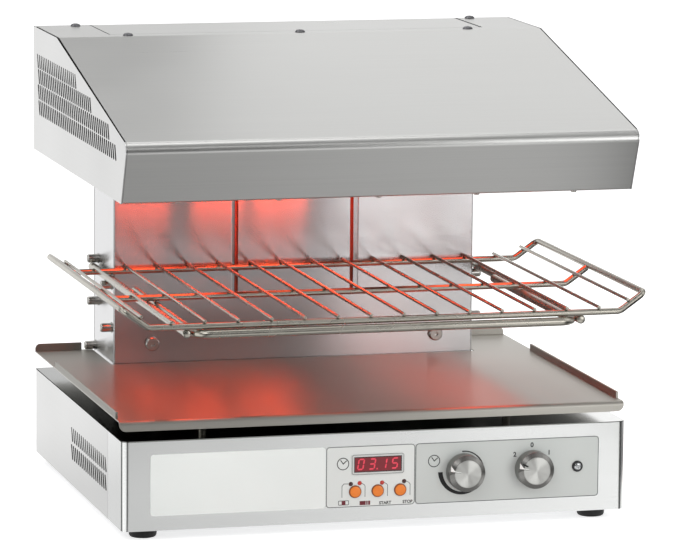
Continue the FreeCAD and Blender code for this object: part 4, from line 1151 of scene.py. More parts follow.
@dataclass
class Base(Assembly):
    """The base with its floor, shell, fascia, top plate, feet and tray posts."""

    half_width: float = 300.0
    sheet: float = 1.2
    vent_bottom: float = 34.0
    vent_area: Area = (-175.0, 34.0, 45.0, 77.0)
    top: float = 116.3
    foot_places: tuple[Point, ...] = ((-269.0, -215.0), (-269.0, 215.0), (269.0, -215.0), (269.0, 215.0))
    foot_radius: float = 16.5
    foot_height: float = 12.0
    post_x: float = 184.0
    post_ys: tuple[float, ...] = (-150.0, 90.0)
    post_radius: float = 4.5
    post_top: float = 136.1

    def feet(self) -> None:
        """Builds the rubber feet, each with a tapered side, a groove and a screw recess."""
        piece = Piece("foot_rubbers", Body.CABINET, RUBBER)
        radius, height = self.foot_radius, self.foot_height
        outline = [
            (0, 5.0), (6.5, 5.0), (6.5, 0.2), (6.9, 0.0), (radius - 3.2, 0.0), (radius - 2.2, 0.3),
            (radius - 1.2, 1.2), (radius - 0.5, 3.0), (radius - 0.2, height - 4.0),
            (radius - 0.6, height - 3.4), (radius, height - 2.8), (radius, height - 0.6),
            (radius - 0.6, height), (0, height),
        ]
        for x, y in self.foot_places:
            piece.lathe(outline, (x, y, 0.0), (0, 0, 1), 48)
        piece.deliver("rubber_feet")

    def posts(self) -> None:
        """Builds the turned posts that the tray rests on."""
        piece = Piece("tray_support_posts", Body.CABINET, BAR)
        radius, height = self.post_radius, self.post_top - self.top
        outline = [(0, 0), (radius, 0), (radius, height - 0.8), (radius - 0.8, height), (0, height)]
        for x in (-self.post_x, self.post_x):
            for y in self.post_ys:
                piece.lathe(outline, (x, y, self.top), (0, 0, 1), 32)
        piece.deliver("tray_posts")

    def build(self) -> None:
        """Builds and dresses the base."""
        shell = Piece("base_shell_sheet", Body.CABINET, SATIN_DEEP).copy(self.nodes["base_shell"])
        # The shell's vent edges get painted shade.
        shell.paint_shade_in_cuts(self.half_width, self.sheet, self.vent_bottom)
        shell.widen_vents(self.half_width, self.vent_area).deliver("base_shell")
        self.smoothed("front_fascia", Body.CABINET, FRONT_STEEL)
        # The base top plate is darkened as painted shade under the tray.
        self.dress(SHADED_TOP_POLISH, "base_top_plate")
        self.dress(ZINC, "base_floor")
        self.dress(FASTENER, "machine_screws", "hex_nuts")
        self.feet()
        self.posts()


@dataclass
class Electrics(Assembly):
    """What the base and the hood hold inside, with the gland and the stud at the back."""

    def build(self) -> None:
        """Dresses the electrical parts."""
        self.dress(BLACK, "display_module", "key_switches", "timer_control", "selector_switch", "cable_gland")
        self.dress(FASTENER, "board_standoffs", "timer_spindle", "selector_spindle", "earth_stud")
        self.dress(BOARD, "circuit_boards")
        self.dress(RELAY, "relays")
        self.dress(CERAMIC, "terminal_blocks")
        self.dress(WIRE, "wiring")


@dataclass
class Tray(Assembly):
    """The drip tray on the base."""

    def build(self) -> None:
        """Builds the tray with its lip and rims smooth."""
        self.smoothed("tray", Body.TRAY, TRAY_STEEL)


@dataclass
class Carrier(Assembly):
    """The two arms that hang on the pins and the bow between them."""

    height: float = 243.6
    radius: float = 5.0
    arm_x: float = 232.9
    arm_front: float = -280.0
    arm_back: float = 229.5
    bow_x: float = 222.9
    bow_front: float = -287.0
    bow_back: float = 32.0
    bow_corner: float = 18.0

    def arms(self) -> None:
        """Builds the straight arms with their slightly domed ends."""
        piece = Piece("carrier_arm_bars", Body.CARRIER, BAR)
        length = self.arm_back - self.arm_front
        r = self.radius
        outline = [
            (0, 0), (r * 0.6, 0.15), (r * 0.86, 0.6), (r, 1.4), (r, length - 1.4), (r * 0.86, length - 0.6),
            (r * 0.6, length - 0.15), (0, length),
        ]
        for x in (-self.arm_x, self.arm_x):
            piece.lathe(outline, (x, self.arm_front, self.height), (0, 1, 0), 28)
        piece.deliver("carrier_arms")

    def bow(self) -> None:
        """Builds the bow that runs round the front."""
        x, z = self.bow_x, self.height
        left = [(-x, self.bow_back, z), (-x, self.bow_front, z)]
        points = left + [(x, self.bow_front, z), (x, self.bow_back, z)]
        Piece("carrier_bow_bar", Body.CARRIER, BAR).rod(
            points, [self.bow_corner, self.bow_corner], self.radius, 28
        ).deliver("carrier_bow")

    def build(self) -> None:
        """Builds the carrier."""
        self.arms()
        self.bow()


@dataclass
class Rack(Assembly):
    """The wire rack with its raised wings."""

    height: float = 252.65
    rim_radius: float = 3.75
    front: float = -283.0
    back: float = 128.0
    middle: float = -77.5
    bend_x: float = 278.0
    bend: float = 12.0
    wing_reach: float = 29.5
    wing_rise: float = 20.85
    wing_corner: float = 8.0
    wire_radius: float = 2.0
    wire_pitch: float = 38.8
    wire_count: int = 14
    wire_overhang: float = 4.5
    wing_wire_reach: float = 15.0

    @property
    def slope(self) -> Vector:
        """The direction up a wing, as X and Z."""
        return Vector((self.wing_reach, self.wing_rise)).normalized()

    def rim(self) -> None:
        """Builds the rim rod, one closed loop over both wings."""
        wing_x, wing_z = self.bend_x + self.wing_reach, self.height + self.wing_rise
        right_front = [(self.bend_x, self.front, self.height), (wing_x, self.front, wing_z)]
        right_back = [(wing_x, self.back, wing_z), (self.bend_x, self.back, self.height)]
        left_back = [(-x, y, z) for x, y, z in reversed(right_back)]
        left_front = [(-x, y, z) for x, y, z in reversed(right_front)]
        start = (0.0, self.front, self.height)
        bends = [self.bend, self.wing_corner, self.wing_corner, self.bend] * 2
        points = [start, *right_front, *right_back, *left_back, *left_front, start]
        piece = Piece("rack_rim_rod", Body.RACK, BAR)
        piece.rod(points, bends, self.rim_radius, 24, True).deliver("rack_rim")

    def cross_rod(self) -> None:
        """Builds the rod across the middle, up to the wings' outer rods."""
        reach = math.hypot(self.wing_reach, self.wing_rise) - self.rim_radius
        end_x, end_z = self.bend_x + self.slope.x * reach, self.height + self.slope.y * reach
        half = [(self.bend_x, self.middle, self.height), (end_x, self.middle, end_z)]
        other = [(-x, y, z) for x, y, z in reversed(half)]
        Piece("rack_middle_rod", Body.RACK, BAR).rod(
            other + half, [self.bend, self.bend], self.rim_radius, 24
        ).deliver("rack_cross_bar")

    def wires(self) -> None:
        """Builds the wires from front to back, one of them on each wing."""
        piece = Piece("rack_grid_wires", Body.RACK, BAR)
        r = self.wire_radius
        start = self.front - self.wire_overhang
        length = self.back + self.wire_overhang - start
        outline = [(0, 0), (r * 0.7, 0.2), (r, 1.0), (r, length - 1.0), (r * 0.7, length - 0.2), (0, length)]
        z = self.height + self.rim_radius + r
        half = (self.wire_count - 1) / 2
        places = [((index - half) * self.wire_pitch, z) for index in range(self.wire_count)]
        lift = self.rim_radius + r
        wing_x = self.bend_x + self.slope.x * self.wing_wire_reach - self.slope.y * lift
        wing_z = self.height + self.slope.y * self.wing_wire_reach + self.slope.x * lift
        for x, height in places + [(-wing_x, wing_z), (wing_x, wing_z)]:
            piece.lathe(outline, (x, start, height), (0, 1, 0), 16)
        piece.deliver("rack_wires")

    def build(self) -> None:
        """Builds the rack."""
        self.rim()
        self.cross_rod()
        self.wires()


@dataclass
class ControlPanel(Assembly):
    """The three plates on the fascia, with the digit window, keys, lenses and print."""

    face: float = -247.5
    ink: float = 0.06
    timer_plate: tuple[float, float] = (-61.0, 45.0)
    dial_plate: tuple[float, float] = (45.4, 267.3)
    bottom: float = 29.0
    top: float = 100.3
    corner: float = 4.0
    window_x: tuple[float, float] = (-28.0, 29.0)
    window_z: tuple[float, float] = (69.3, 87.6)
    window_proud: float = 0.7
    window_sink: float = 1.7
    bezel_margin: float = 2.6
    bezel_proud: float = 1.0
    digit_pitch: float = 13.5
    digit_half_width: float = 3.1
    digit_half_height: float = 5.8
    digit_stroke: float = 1.7
    digit_slant: float = 0.17
    key_xs: tuple[float, ...] = (-26.3, 0.6, 27.5)
    key_z: float = 47.0
    key_radius: float = 7.15
    key_proud: float = 2.1
    lens_radius: float = 2.4
    lens_proud: float = 0.8
    lens_places: tuple[Point, ...] = ((-31.5, 56.1), (-21.0, 56.8), (5.8, 56.2), (32.1, 56.8))
    board_gap: float = 11.5

    def outline(self, left: float, right: float, inset: float) -> list[Point]:
        """Gives the corners of a frame printed on a plate.

        Args:
            left: The plate's left edge.
            right: The plate's right edge.
            inset: The frame's distance from the edges.

        Returns:
            Four corners as pairs of X and Z.
        """
        return [
            (left + inset, self.bottom + inset), (right - inset, self.bottom + inset),
            (right - inset, self.top - inset), (left + inset, self.top - inset),
        ]

    def plates(self) -> None:
        """Dresses the plates and lays thin grey frames along the edges of two of them."""
        self.dress(PALE_PLATE, "blank_front_plate")
        self.dress(FOIL, "timer_panel")
        self.dress(DIAL_FOIL, "knob_panel")
        piece = Piece("plate_frames", Body.CABINET, LINE_INK)
        for left, right in (self.timer_plate, self.dial_plate):
            piece.frame(self.outline(left, right, 0.15), self.face - self.ink, self.ink, 0.8, self.corner)
        piece.deliver()

    def window(self) -> None:
        """Builds the bezel and the tinted window, with painted shade as a dark line round the bezel's outer
        edge and as a dark frame round the window's inner edge.
        """
        x0, x1 = self.window_x
        z0, z1 = self.window_z
        m = self.bezel_margin
        outer = [(x0 - m, z0 - m), (x1 + m, z0 - m), (x1 + m, z1 + m), (x0 - m, z1 + m)]
        Piece("window_bezel", Body.CABINET, BEZEL).frame(
            outer, self.face - self.bezel_proud, self.bezel_proud, m, 2.5
        ).deliver("display_bezel")
        # A thin darker line round the bezel's outer edge: painted shade.
        Piece("window_bezel_shade_line", Body.CABINET, BEZEL_EDGE_SHADE).frame(
            outer, self.face - self.bezel_proud - 0.03, 0.03, 0.7, 2.5
        ).deliver()
        front = self.face - self.window_proud
        inner = [(x0, z0), (x1, z0), (x1, z1), (x0, z1)]
        pane = Piece("tinted_window", Body.CABINET, WINDOW)
        pane.plate(inner, front, self.window_proud + self.window_sink).deliver("display_window")
        # A dark frame on the window's inner edge, under the bezel: painted shade.
        Piece("window_edge_painted_shade", Body.CABINET, LENS_DARK).frame(inner, front - 0.02, 0.02, 1.3, 0.0).deliver()

    def digits(self) -> None:
        """Builds the four lit digits from slanted bars."""
        w, h, s = self.digit_half_width, self.digit_half_height, self.digit_stroke / 2
        flat = {"top": (0.0, h), "middle": (0.0, 0.0), "bottom": (0.0, -h)}
        upright = {
            "upper_left": (-w, h / 2), "upper_right": (w, h / 2),
            "lower_left": (-w, -h / 2), "lower_right": (w, -h / 2),
        }
        lit = {
            "0": ("top", "bottom", "upper_left", "upper_right", "lower_left", "lower_right"),
            "1": ("upper_right", "lower_right"),
            "3": ("top", "middle", "bottom", "upper_right", "lower_right"),
            "5": ("top", "middle", "bottom", "upper_left", "lower_right"),
        }
        piece = Piece("lit_time", Body.CABINET, DIGITS)
        middle_x = sum(self.window_x) / 2
        middle_z = sum(self.window_z) / 2 + 0.3
        front = self.face - self.window_proud - 0.04
        for place, digit in enumerate("0315"):
            centre = middle_x + (place - 1.5) * self.digit_pitch
            for bar in lit[digit]:
                if bar in flat:
                    x, z = flat[bar]
                    reach, rise = w - 0.2, s
                    corners = [
                        (-reach, 0), (-reach + s, -rise), (reach - s, -rise),
                        (reach, 0), (reach - s, rise), (-reach + s, rise),
                    ]
                else:
                    x, z = upright[bar]
                    reach, rise = s, h / 2 - 0.2
                    corners = [
                        (0, -rise), (reach, -rise + s), (reach, rise - s),
                        (0, rise), (-reach, rise - s), (-reach, -rise + s),
                    ]
                placed = [(centre + x + a + (z + b) * self.digit_slant, middle_z + z + b) for a, b in corners]
                piece.plate(placed, front, 0.03)
        point_x = middle_x - self.digit_slant * h
        corners = [(point_x + s * a, middle_z - h + s * b) for a, b in ((-1, -1), (1, -1), (1, 1), (-1, 1))]
        piece.plate(corners, front, 0.03)
        piece.deliver()

    def keys(self) -> None:
        """Builds the three round keys, each with its skirt in a darker orange: painted shade on the key's
        side.
        """
        bodies = (Body.ZONE_BUTTON, Body.START_BUTTON, Body.STOP_BUTTON)
        nodes = ("zone_key", "start_key", "stop_key")
        r, proud = self.key_radius, self.key_proud
        skirt = [
            (0, -2.0), (r + 0.7, -2.0), (r + 0.7, -1.0), (r, -1.0), (r, proud - 0.9), (r - 0.35, proud - 0.3),
            (0, proud - 0.3),
        ]
        cap = [
            (0, proud - 0.9), (r - 0.9, proud - 0.9), (r - 0.9, proud - 0.25), (r - 1.3, proud - 0.06),
            (r * 0.5, proud - 0.02), (0, proud),
        ]
        for x, body, node in zip(self.key_xs, bodies, nodes):
            seat = (x, self.face, self.key_z)
            Piece(f"{node}_skirt", body, KEY_SIDE_SHADE).lathe(skirt, seat, (0, -1, 0), 48).deliver(node)
            Piece(f"{node}_cap", body, KEY_ORANGE).lathe(cap, seat, (0, -1, 0), 48).deliver()

    def lenses(self) -> None:
        """Builds the domed indicator lenses, two of them lit."""
        r, proud = self.lens_radius, self.lens_proud
        angles = [math.radians(15 * step) for step in range(6)]
        dome = [(r * math.cos(a), proud * math.sin(a)) for a in angles]
        stem = [(0, -self.board_gap), (r - 0.4, -self.board_gap), (r - 0.4, -1.7), (r, -1.7)]
        outline = stem + dome + [(0, proud)]
        for name, finish, places in (
            ("dark_indicator_lenses", LENS_DARK, (0, 3)), ("lit_indicator_lenses", LENS_LIT, (1, 2)),
        ):
            piece = Piece(name, Body.CABINET, finish)
            for index in places:
                x, z = self.lens_places[index]
                piece.lathe(outline, (x, self.face, z), (0, -1, 0), 28)
            piece.deliver(*(("indicator_lenses",) if finish is LENS_DARK else ()))

    def print_marks(self) -> None:
        """Prints the clocks, leader lines, zone signs, words and numbers."""
        front, ink = self.face - self.ink, self.ink
        leaders = Piece("leader_lines", Body.CABINET, LINE_INK)
        for points in (
            [(-33.6, 56.4), (-39.6, 56.6), (-42.0, 54.0), (-42.0, 40.8)],
            [(-18.6, 56.6), (-15.4, 54.6), (-14.5, 53.0), (-14.5, 40.6)],
            [(8.2, 56.4), (11.2, 54.6), (12.3, 53.0), (12.3, 40.6)],
            [(34.6, 56.8), (37.9, 55.0), (39.3, 53.0), (39.3, 40.6)],
        ):
            leaders.stroke(points, front, ink, 0.7)
        leaders.deliver()
        clocks = Piece("clock_signs", Body.CABINET, INK)
        for x, z in ((-41.0, 80.0), (67.8, 78.8)):
            clocks.ring((x, z), 7.3, front, ink, 1.0)
            clocks.stroke([(x - 2.6, z + 4.0), (x + 0.3, z), (x + 4.0, z + 3.4)], front, ink, 1.1)
        clocks.deliver()
        frames = Piece("zone_sign_frame", Body.CABINET, LINE_INK)
        frames.frame([(-46.4, 31.6), (-33.6, 31.6), (-33.6, 37.2), (-46.4, 37.2)], front, ink, 0.8, 1.0)
        frames.deliver()
        blocks = Piece("zone_sign_blocks", Body.CABINET, RED_INK)
        blocks.plate([(-42.3, 32.0), (-37.7, 32.0), (-37.7, 36.8), (-42.3, 36.8)], front - 0.01, ink)
        for left, right in ((-20.9, -13.6), (-13.0, -11.3), (-10.7, -8.3)):
            blocks.plate([(left, 30.9), (right, 30.9), (right, 35.7), (left, 35.7)], front, ink)
        blocks.deliver()
        words = Piece("key_words", Body.CABINET, INK)
        words.words("START", (9.6, 32.4), front, 3.4, 0.05)
        words.words("STOP", (36.4, 32.6), front, 3.4, 0.05)
        words.deliver()
        numbers = Piece("dial_numbers", Body.CABINET, BLACK_INK)
        for text, place in (("2", (165.2, 82.1)), ("0", (185.9, 92.6)), ("1", (206.7, 82.8))):
            numbers.words(text, place, front, 5.2, 0.045)
        numbers.deliver()

    def build(self) -> None:
        """Builds and dresses the control panel."""
        self.plates()
        self.window()
        self.digits()
        self.keys()
        self.lenses()
        self.print_marks()


@dataclass
class Dial(Assembly):
    """A knob with its turned face and the wedge that points at the scale."""

    name: str = "timer"
    body: Body = Body.TIMER_DIAL
    x: float = 103.5
    z: float = 65.3
    pointer_angle: float = 169.0
    marked: bool = False
    back: float = -248.1
    height: float = 18.4
    radius: float = 21.5
    face_radius: float = 16.2
    bevel: float = 3.0
    wedge_inner: float = 8.0
    wedge_outer: float = 21.0
    wedge_half_width: float = 6.0
    wedge_sink: float = 3.4
    wedge_proud: float = 0.7
    line_angle: float = 153.0
    line_reach: tuple[float, float] = (12.5, 19.5)
    line_half_width: float = 0.9

    @property
    def front(self) -> float:
        """The Y of the knob's face."""
        return self.back - self.height

    def turned(self, piece: Piece, angle: float) -> Piece:
        """Turns a piece round the knob's axis, from the right of the origin to its place on the face.

        Args:
            piece: The piece.
            angle: The angle, in degrees, from the right.

        Returns:
            The piece itself.
        """
        turn = Matrix.Rotation(math.radians(-angle), 4, "Y")
        place = Matrix.Translation((self.x, 0, self.z)) @ turn
        bmesh.ops.transform(piece.bm, matrix=place, verts=piece.bm.verts)
        return piece

    def grip(self) -> None:
        """Builds the knob's body with its bevel and hollow back."""
        centre = (self.x, self.front, self.z)
        finish = TurnedFace(f"{self.name}_knob_metal", "knob_metal", "8d8c89", 0.3, centre, 300.0, 0.5)
        r, h = self.radius, self.height
        outline = [
            (0, 4.4), (r - 2.5, 4.4), (r - 2.5, 0.0), (r - 0.5, 0.0), (r, 0.5), (r, h - self.bevel - 0.4),
            (r - 0.3, h - self.bevel), (self.face_radius + 0.3, h - 0.25), (self.face_radius, h - 0.2),
            (self.face_radius, h - 1.2), (0, h - 1.2),
        ]
        Piece(f"{self.name}_grip", self.body, finish).lathe(
            outline, (self.x, self.back, self.z), (0, -1, 0), 96
        ).deliver(f"{self.name}_knob", crease=20.0)

    def disc(self) -> None:
        """Builds the turned disc in the knob's face."""
        centre = (self.x, self.front, self.z)
        finish = TurnedFace(f"{self.name}_disc_metal", "spun_aluminium", "c8c8c4", 0.36, centre, 420.0, 0.98)
        r = self.face_radius - 0.15
        outline = [
            (0, -1.1), (r, -1.1), (r, -0.45), (r - 0.4, -0.1), (r - 1.0, 0.0), (r * 0.5, 0.0), (0, 0.0),
        ]
        piece = Piece(f"{self.name}_disc", self.body, finish).lathe(outline, centre, (0, -1, 0), 96)
        piece.deliver(f"{self.name}_knob_cap", crease=20.0)

    def wedge(self) -> None:
        """Builds the wedge, with a painted highlight on its upper facet and painted shade on its lower facet.
        """
        front = self.front
        inner = Vector((self.wedge_inner, front - 0.25, 0))
        crest = Vector((self.wedge_outer, front - self.wedge_proud, 0))
        # Upper facet in a painted highlight, lower facet in painted shade.
        for name, finish, side in (("upper", WEDGE_PAINTED_HIGHLIGHT, -1), ("lower", WEDGE_PAINTED_SHADE, 1)):
            piece = Piece(f"{self.name}_wedge_{name}", self.body, finish)
            edge = Vector((self.wedge_outer, front + self.wedge_sink, side * self.wedge_half_width))
            root = Vector((self.wedge_outer, front + self.wedge_sink, 0))
            corners = [piece.bm.verts.new(point) for point in (inner, crest, edge, root)]
            bmesh.ops.convex_hull(piece.bm, input=corners)
            self.turned(piece, self.pointer_angle).deliver()

    def line(self) -> None:
        """Builds the black line beside the wedge of a marked knob."""
        piece = Piece(f"{self.name}_black_line", self.body, BLACK_INK)
        (near, far), half = self.line_reach, self.line_half_width
        corners = [(near, -half), (far, -half), (far, half), (near, half)]
        piece.plate(corners, self.front - self.wedge_proud - 0.1, 0.5)
        self.turned(piece, self.line_angle).deliver()

    def build(self) -> None:
        """Builds the knob."""
        self.grip()
        self.disc()
        self.wedge()
        if self.marked:
            self.line()


@dataclass
class TimerScale(Assembly):
    """The black crescent round the timer's knob, thin at the top and thick at its end."""

    x: float = 103.5
    z: float = 65.3
    face: float = -247.5
    ink: float = 0.06
    start_angle: float = 95.0
    sweep: float = 275.0
    steps: int = 72

    def reach(self, share: float) -> tuple[float, float]:
        """Gives the crescent's inner and outer radius at a share of its sweep."""
        return 22.8 + 2.4 * share**2, 24.2 + 6.7 * share**2

    def build(self) -> None:
        """Spins a short edge round the knob and widens it as it goes."""
        piece = Piece("timer_crescent", Body.CABINET, BLACK_INK)
        start = math.radians(self.start_angle)
        centre = Vector((self.x, self.face - self.ink, self.z))
        spoke = Vector((math.cos(start), 0, math.sin(start)))
        verts = [piece.bm.verts.new(centre + spoke * radius) for radius in (10.0, 20.0)]
        edge = piece.bm.edges.new(verts)
        bmesh.ops.spin(
            piece.bm, geom=[edge], cent=centre, axis=(0, 1, 0), angle=math.radians(self.sweep),
            steps=self.steps, use_duplicate=False,
        )
        for vert in piece.bm.verts:
            arm = vert.co - centre
            angle = math.degrees(math.atan2(arm.z, arm.x))
            share = ((self.start_angle - angle) % 360) / self.sweep
            share = 0.0 if share > 1.2 else min(share, 1.0)
            inner, outer = self.reach(share)
            vert.co = centre + arm.normalized() * (inner if arm.length < 15 else outer)
        piece.thicken(list(piece.bm.faces), self.ink)
        piece.deliver()


@dataclass
class PilotLamp(Assembly):
    """The pilot lamp with its black ring."""

    x: float = 241.3
    z: float = 65.3
    face: float = -247.5
    ring_radius: float = 6.5
    ring_proud: float = 2.0
    lens_radius: float = 4.5
    lens_proud: float = 3.2

    def build(self) -> None:
        """Builds the ring and the silvered lens."""
        seat = (self.x, self.face, self.z)
        ring = [
            (self.lens_radius + 0.02, 0), (self.ring_radius, 0), (self.ring_radius, self.ring_proud - 0.7),
            (self.ring_radius - 0.7, self.ring_proud), (self.lens_radius + 0.3, self.ring_proud),
            (self.lens_radius + 0.02, self.ring_proud - 0.3), (self.lens_radius + 0.02, 0),
        ]
        Piece("lamp_bezel", Body.CABINET, BLACK).lathe(ring, seat, (0, -1, 0), 48).deliver("pilot_lamp_ring")
        r, proud = self.lens_radius - 0.02, self.lens_proud
        lens = [(0, -22.0), (r, -22.0), (r, 1.8), (r * 0.94, 2.5), (r * 0.75, proud - 0.1), (r * 0.5, proud),
                (r * 0.32, proud - 0.5), (r * 0.2, proud - 0.2), (0, proud - 0.1)]
        Piece("lamp_lens_dome", Body.CABINET, LAMP).lathe(lens, seat, (0, -1, 0), 48).deliver("pilot_lamp")


@dataclass
class Studio:
    """The floor, the lights and the camera."""

    azimuth: float = 15.15
    elevation: float = 8.9
    roll: float = 0.48
    focal_px: float = 4705.75
    picture_width: int = 680
    target: Place = (0.02051, 0.0, 0.26191)
    distance: float = 5.62315
    floor_size: float = 16.0
    floor_lift: float = 0.7
    room_light: float = 0.66
    round_tones: Tones = (
        (0.0, 0.1), (0.13, 0.12), (0.19, 0.25), (0.21, 1.6), (0.30, 1.6), (0.32, 0.5),
        (0.42, 1.1), (0.47, 1.3), (0.50, 1.05), (0.54, 1.02), (0.58, 0.95), (0.62, 0.8),
        (0.68, 0.45), (0.72, 0.6), (0.82, 0.6), (0.90, 0.5), (0.94, 0.2), (1.0, 0.1),
    )
    height_tones: Tones = (
        (0.0, 1.0), (0.2, 1.0), (0.36, 0.42), (0.56, 0.34), (0.61, 0.2), (0.66, 1.4),
        (0.88, 1.4), (0.94, 0.3), (1.0, 0.3),
    )
    grazing_tones: Tones = (
        (0.0, 0.3), (0.3, 0.34), (0.42, 0.9), (0.5, 0.9), (0.6, 0.65), (0.8, 0.85), (1.0, 1.0),
    )
    side_tones: Tones = (
        (0.0, 0.8), (0.43, 0.95), (0.5, 1.1), (0.58, 1.35), (0.62, 1.5), (0.632, 0.2),
        (0.7, 0.2), (0.74, 0.8), (1.0, 0.8),
    )
    depth_tones: Tones = (
        (0.0, 0.02), (0.07, 0.08), (0.12, 0.5), (0.2, 0.9), (0.27, 1.2), (0.34, 1.1),
        (0.52, 1.1), (0.62, 1.4), (1.0, 1.4),
    )
    left_tones: Tones = (
        (0.0, 1.0), (0.02, 0.9), (0.035, 0.2), (0.08, 0.2), (0.12, 1.7), (0.29, 1.7),
        (0.33, 0.2), (0.40, 0.2), (0.44, 1.0), (1.0, 1.0),
    )
    right_tones: Tones = ((0.0, 1.0), (0.77, 1.0), (0.8, 0.1), (0.9, 0.06), (0.925, 1.0), (1.0, 1.0))
    corners: tuple[Point, Point] = ((-0.3, -0.247), (0.3, -0.247))
    tone_reach: float = 2.0
    glow: Colour = (1.0, 0.07, 0.02)
    glow_places: tuple[float, ...] = (-0.172, 0.0, 0.215)
    glow_watts: tuple[float, ...] = (0.21, 0.05, 0.24)
    wall_glow_xs: tuple[float, ...] = (-0.16, -0.06, 0.02)
    wall_glow_watts: tuple[float, ...] = (0.04, 0.06, 0.06)

    def camera(self) -> None:
        """Sets the camera at the photograph's view."""
        a, e, r = (math.radians(angle) for angle in (self.azimuth, self.elevation, self.roll))
        back = Vector((-math.sin(a) * math.cos(e), -math.cos(a) * math.cos(e), math.sin(e)))
        right = Vector((0, 0, 1)).cross(back).normalized()
        up = back.cross(right)
        across = math.cos(r) * right + math.sin(r) * up
        upward = -math.sin(r) * right + math.cos(r) * up
        data = bpy.data.cameras.new("photo_camera")
        data.sensor_fit = "HORIZONTAL"
        data.sensor_width = 36.0
        data.lens = self.focal_px * data.sensor_width / self.picture_width
        data.clip_end = 60.0
        made = bpy.data.objects.new("photo_camera", data)
        turn = Matrix((across, upward, back)).transposed().to_4x4()
        made.matrix_world = Matrix.Translation(Vector(self.target) + back * self.distance) @ turn
        bpy.context.scene.collection.objects.link(made)
        bpy.context.scene.camera = made

    def ramp(self, tree: bpy.types.NodeTree, value: Socket, tones: Tones) -> Socket:
        """Reads a tone from a row of places and tones.

        Args:
            tree: The node tree.
            value: The place in the row, from 0 to 1.
            tones: Pairs of place and tone.

        Returns:
            The tone as a colour.
        """
        made = tree.nodes.new("ShaderNodeValToRGB")
        stops = made.color_ramp.elements
        for stop, (place, tone) in zip((stops[0], stops[1]), (tones[0], tones[-1])):
            stop.position = place
            stop.color = (tone, tone, tone, 1.0)
        for place, tone in tones[1:-1]:
            stops.new(place).color = (tone, tone, tone, 1.0)
        tree.links.new(value, made.inputs["Fac"])
        return made.outputs["Color"]

    def share(self, tree: bpy.types.NodeTree, value: Socket, reach: float) -> Socket:
        """Maps a value between minus and plus a reach onto 0 to 1.

        Args:
            tree: The node tree.
            value: The value.
            reach: The reach.

        Returns:
            The share.
        """
        made = tree.nodes.new("ShaderNodeMapRange")
        made.inputs["From Min"].default_value = -reach
        made.inputs["From Max"].default_value = reach
        tree.links.new(value, made.inputs["Value"])
        return made.outputs["Result"]

    def bearing(self, tree: bpy.types.NodeTree, vector: Socket) -> Socket:
        """Gives the way that a vector points round the vertical.

        Args:
            tree: The node tree.
            vector: The vector.

        Returns:
            0 at the front, a half at the back, and 1 at the front again by way of +X.
        """
        split = tree.nodes.new("ShaderNodeSeparateXYZ")
        tree.links.new(vector, split.inputs["Vector"])
        angle = tree.nodes.new("ShaderNodeMath")
        angle.operation = "ARCTAN2"
        tree.links.new(split.outputs["X"], angle.inputs[0])
        tree.links.new(split.outputs["Y"], angle.inputs[1])
        return self.share(tree, angle.outputs["Value"], math.pi)

    def world(self) -> None:
        """Sets a white backdrop, the plain light of the room and what steel mirrors of it."""
        world = bpy.data.worlds.new("room")
        world.use_nodes = True
        bpy.context.scene.world = world
        tree = world.node_tree
        tree.nodes.clear()
        link = tree.links.new
        path = tree.nodes.new("ShaderNodeLightPath").outputs
        where = tree.nodes.new("ShaderNodeTexCoord")
        split = tree.nodes.new("ShaderNodeSeparateXYZ")
        link(where.outputs["Generated"], split.inputs["Vector"])
        bearing = self.bearing(tree, where.outputs["Generated"])
        room = tree.nodes.new("ShaderNodeVectorMath")
        room.operation = "MULTIPLY"
        link(self.ramp(tree, bearing, self.round_tones), room.inputs[0])
        link(self.ramp(tree, split.outputs["Z"], self.height_tones), room.inputs[1])
        lights = []
        for strength in (self.room_light, 1.0, 1.0):
            light = tree.nodes.new("ShaderNodeBackground")
            light.inputs["Color"].default_value = (1.0, 1.0, 1.0, 1.0)
            light.inputs["Strength"].default_value = strength
            lights.append(light)
        plain, mirrored, white = lights
        link(room.outputs["Vector"], mirrored.inputs["Color"])
        direct = tree.nodes.new("ShaderNodeMath")
        direct.operation = "MAXIMUM"
        link(path["Is Camera Ray"], direct.inputs[0])
        link(path["Is Transmission Ray"], direct.inputs[1])
        shown = plain.outputs[0]
        for chooser, light in ((path["Is Glossy Ray"], mirrored), (direct.outputs[0], white)):
            mix = tree.nodes.new("ShaderNodeMixShader")
            link(chooser, mix.inputs["Fac"])
            link(shown, mix.inputs[1])
            link(light.outputs[0], mix.inputs[2])
            shown = mix.outputs[0]
        out = tree.nodes.new("ShaderNodeOutputWorld")
        link(shown, out.inputs["Surface"])

